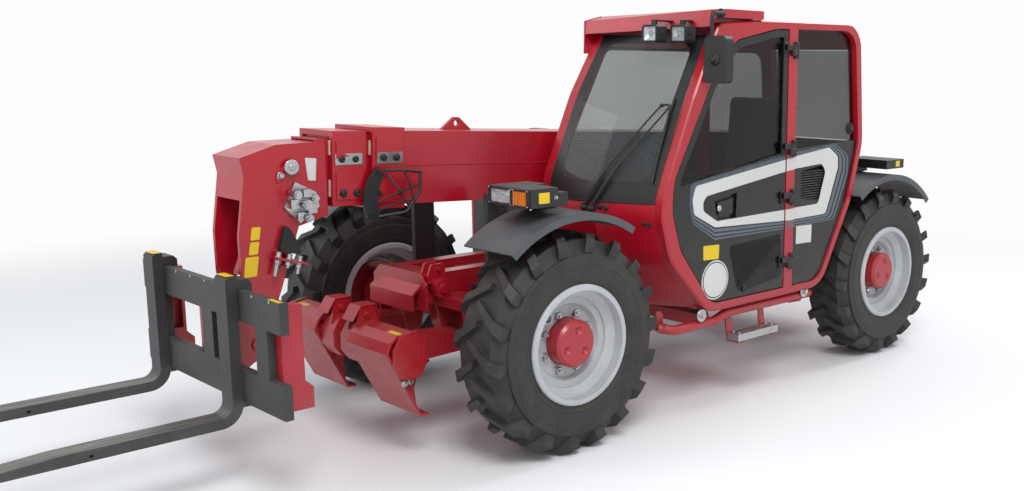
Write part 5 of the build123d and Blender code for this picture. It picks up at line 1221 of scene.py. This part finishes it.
def soft_light(name, place, target, size, power):
    """A square area lamp aimed at a point."""
    light = bpy.data.objects.new(name, bpy.data.lights.new(name, "AREA"))
    light.data.size = size
    light.data.energy = power
    light.location = place
    light.rotation_euler = (Vector(target) - Vector(place)).to_track_quat("-Z", "Y").to_euler()
    bpy.context.scene.collection.objects.link(light)


def seen_directly(tree):
    """1 for rays from the eye, from mirroring faces and through glass; 0 for rays that carry light."""
    rays = tree.nodes.new("ShaderNodeLightPath")
    eye = add(tree, "Math", {"operation": "MAXIMUM"}, {
        0: rays.outputs["Is Camera Ray"], 1: rays.outputs["Is Glossy Ray"]})
    return add(tree, "Math", {"operation": "MAXIMUM"}, {0: eye, 1: rays.outputs["Is Transmission Ray"]})


def make_ground():
    """A pale floor that keeps the machine's shadow and melts into the white backdrop far out."""
    mesh = bpy.data.meshes.new("floor")
    half = 40.0
    mesh.from_pydata([(x, y, 0) for x, y in rectangle(-half, half, -half, half)], [], [(0, 1, 2, 3)])
    floor = bpy.data.objects.new("floor", mesh)
    bpy.context.scene.collection.objects.link(floor)
    material, tree, shader, place = new_finish("studio_floor")
    shader.inputs["Base Color"].default_value = linear("#F4F4F5")
    shader.inputs["Roughness"].default_value = 0.9
    far = add(tree, "VectorMath", {"operation": "LENGTH"}, {0: place}, 1)
    fade = add(tree, "MapRange", {1: 3.6, 2: 7.5, 3: 0.0, 4: 1.0, "interpolation_type": "SMOOTHSTEP"}, {0: far})
    shown = add(tree, "Math", {"operation": "MULTIPLY"}, {0: fade, 1: seen_directly(tree)})
    glow = add(tree, "Emission", {"Color": linear(STUDIO_WHITE), "Strength": 1.0})
    mixed = add(tree, "MixShader", None, {0: shown, 1: shader.outputs[0], 2: glow})
    tree.links.new(mixed, tree.nodes["Material Output"].inputs["Surface"])
    mesh.materials.append(material)


def make_sky():
    """Cool even light all round, shown to the eye and in reflections as the white backdrop."""
    world = bpy.data.worlds.new("studio")
    world.use_nodes = True
    tree = world.node_tree
    light = tree.nodes["Background"]
    light.inputs["Color"].default_value = linear("#E9EEF4")
    light.inputs["Strength"].default_value = 0.62
    backdrop = add(tree, "Background", {"Color": linear(STUDIO_WHITE), "Strength": 1.0})
    mixed = add(tree, "MixShader", None, {0: seen_directly(tree), 1: light.outputs[0], 2: backdrop})
    tree.links.new(mixed, tree.nodes["World Output"].inputs["Surface"])
    bpy.context.scene.world = world


make_camera()
make_ground()
make_sky()
soft_light("key", (3.0, 5.5, 7.5), (0.0, 0.4, 0.8), 3.5, 430.0)
soft_light("fill", (6.5, -2.5, 4.5), (0.5, 0.0, 0.9), 3.5, 120.0)
soft_light("rim", (-6.0, 1.0, 5.5), (-1.0, 0.4, 1.2), 3.0, 180.0)
bpy.context.scene.view_settings.view_transform = "Standard"
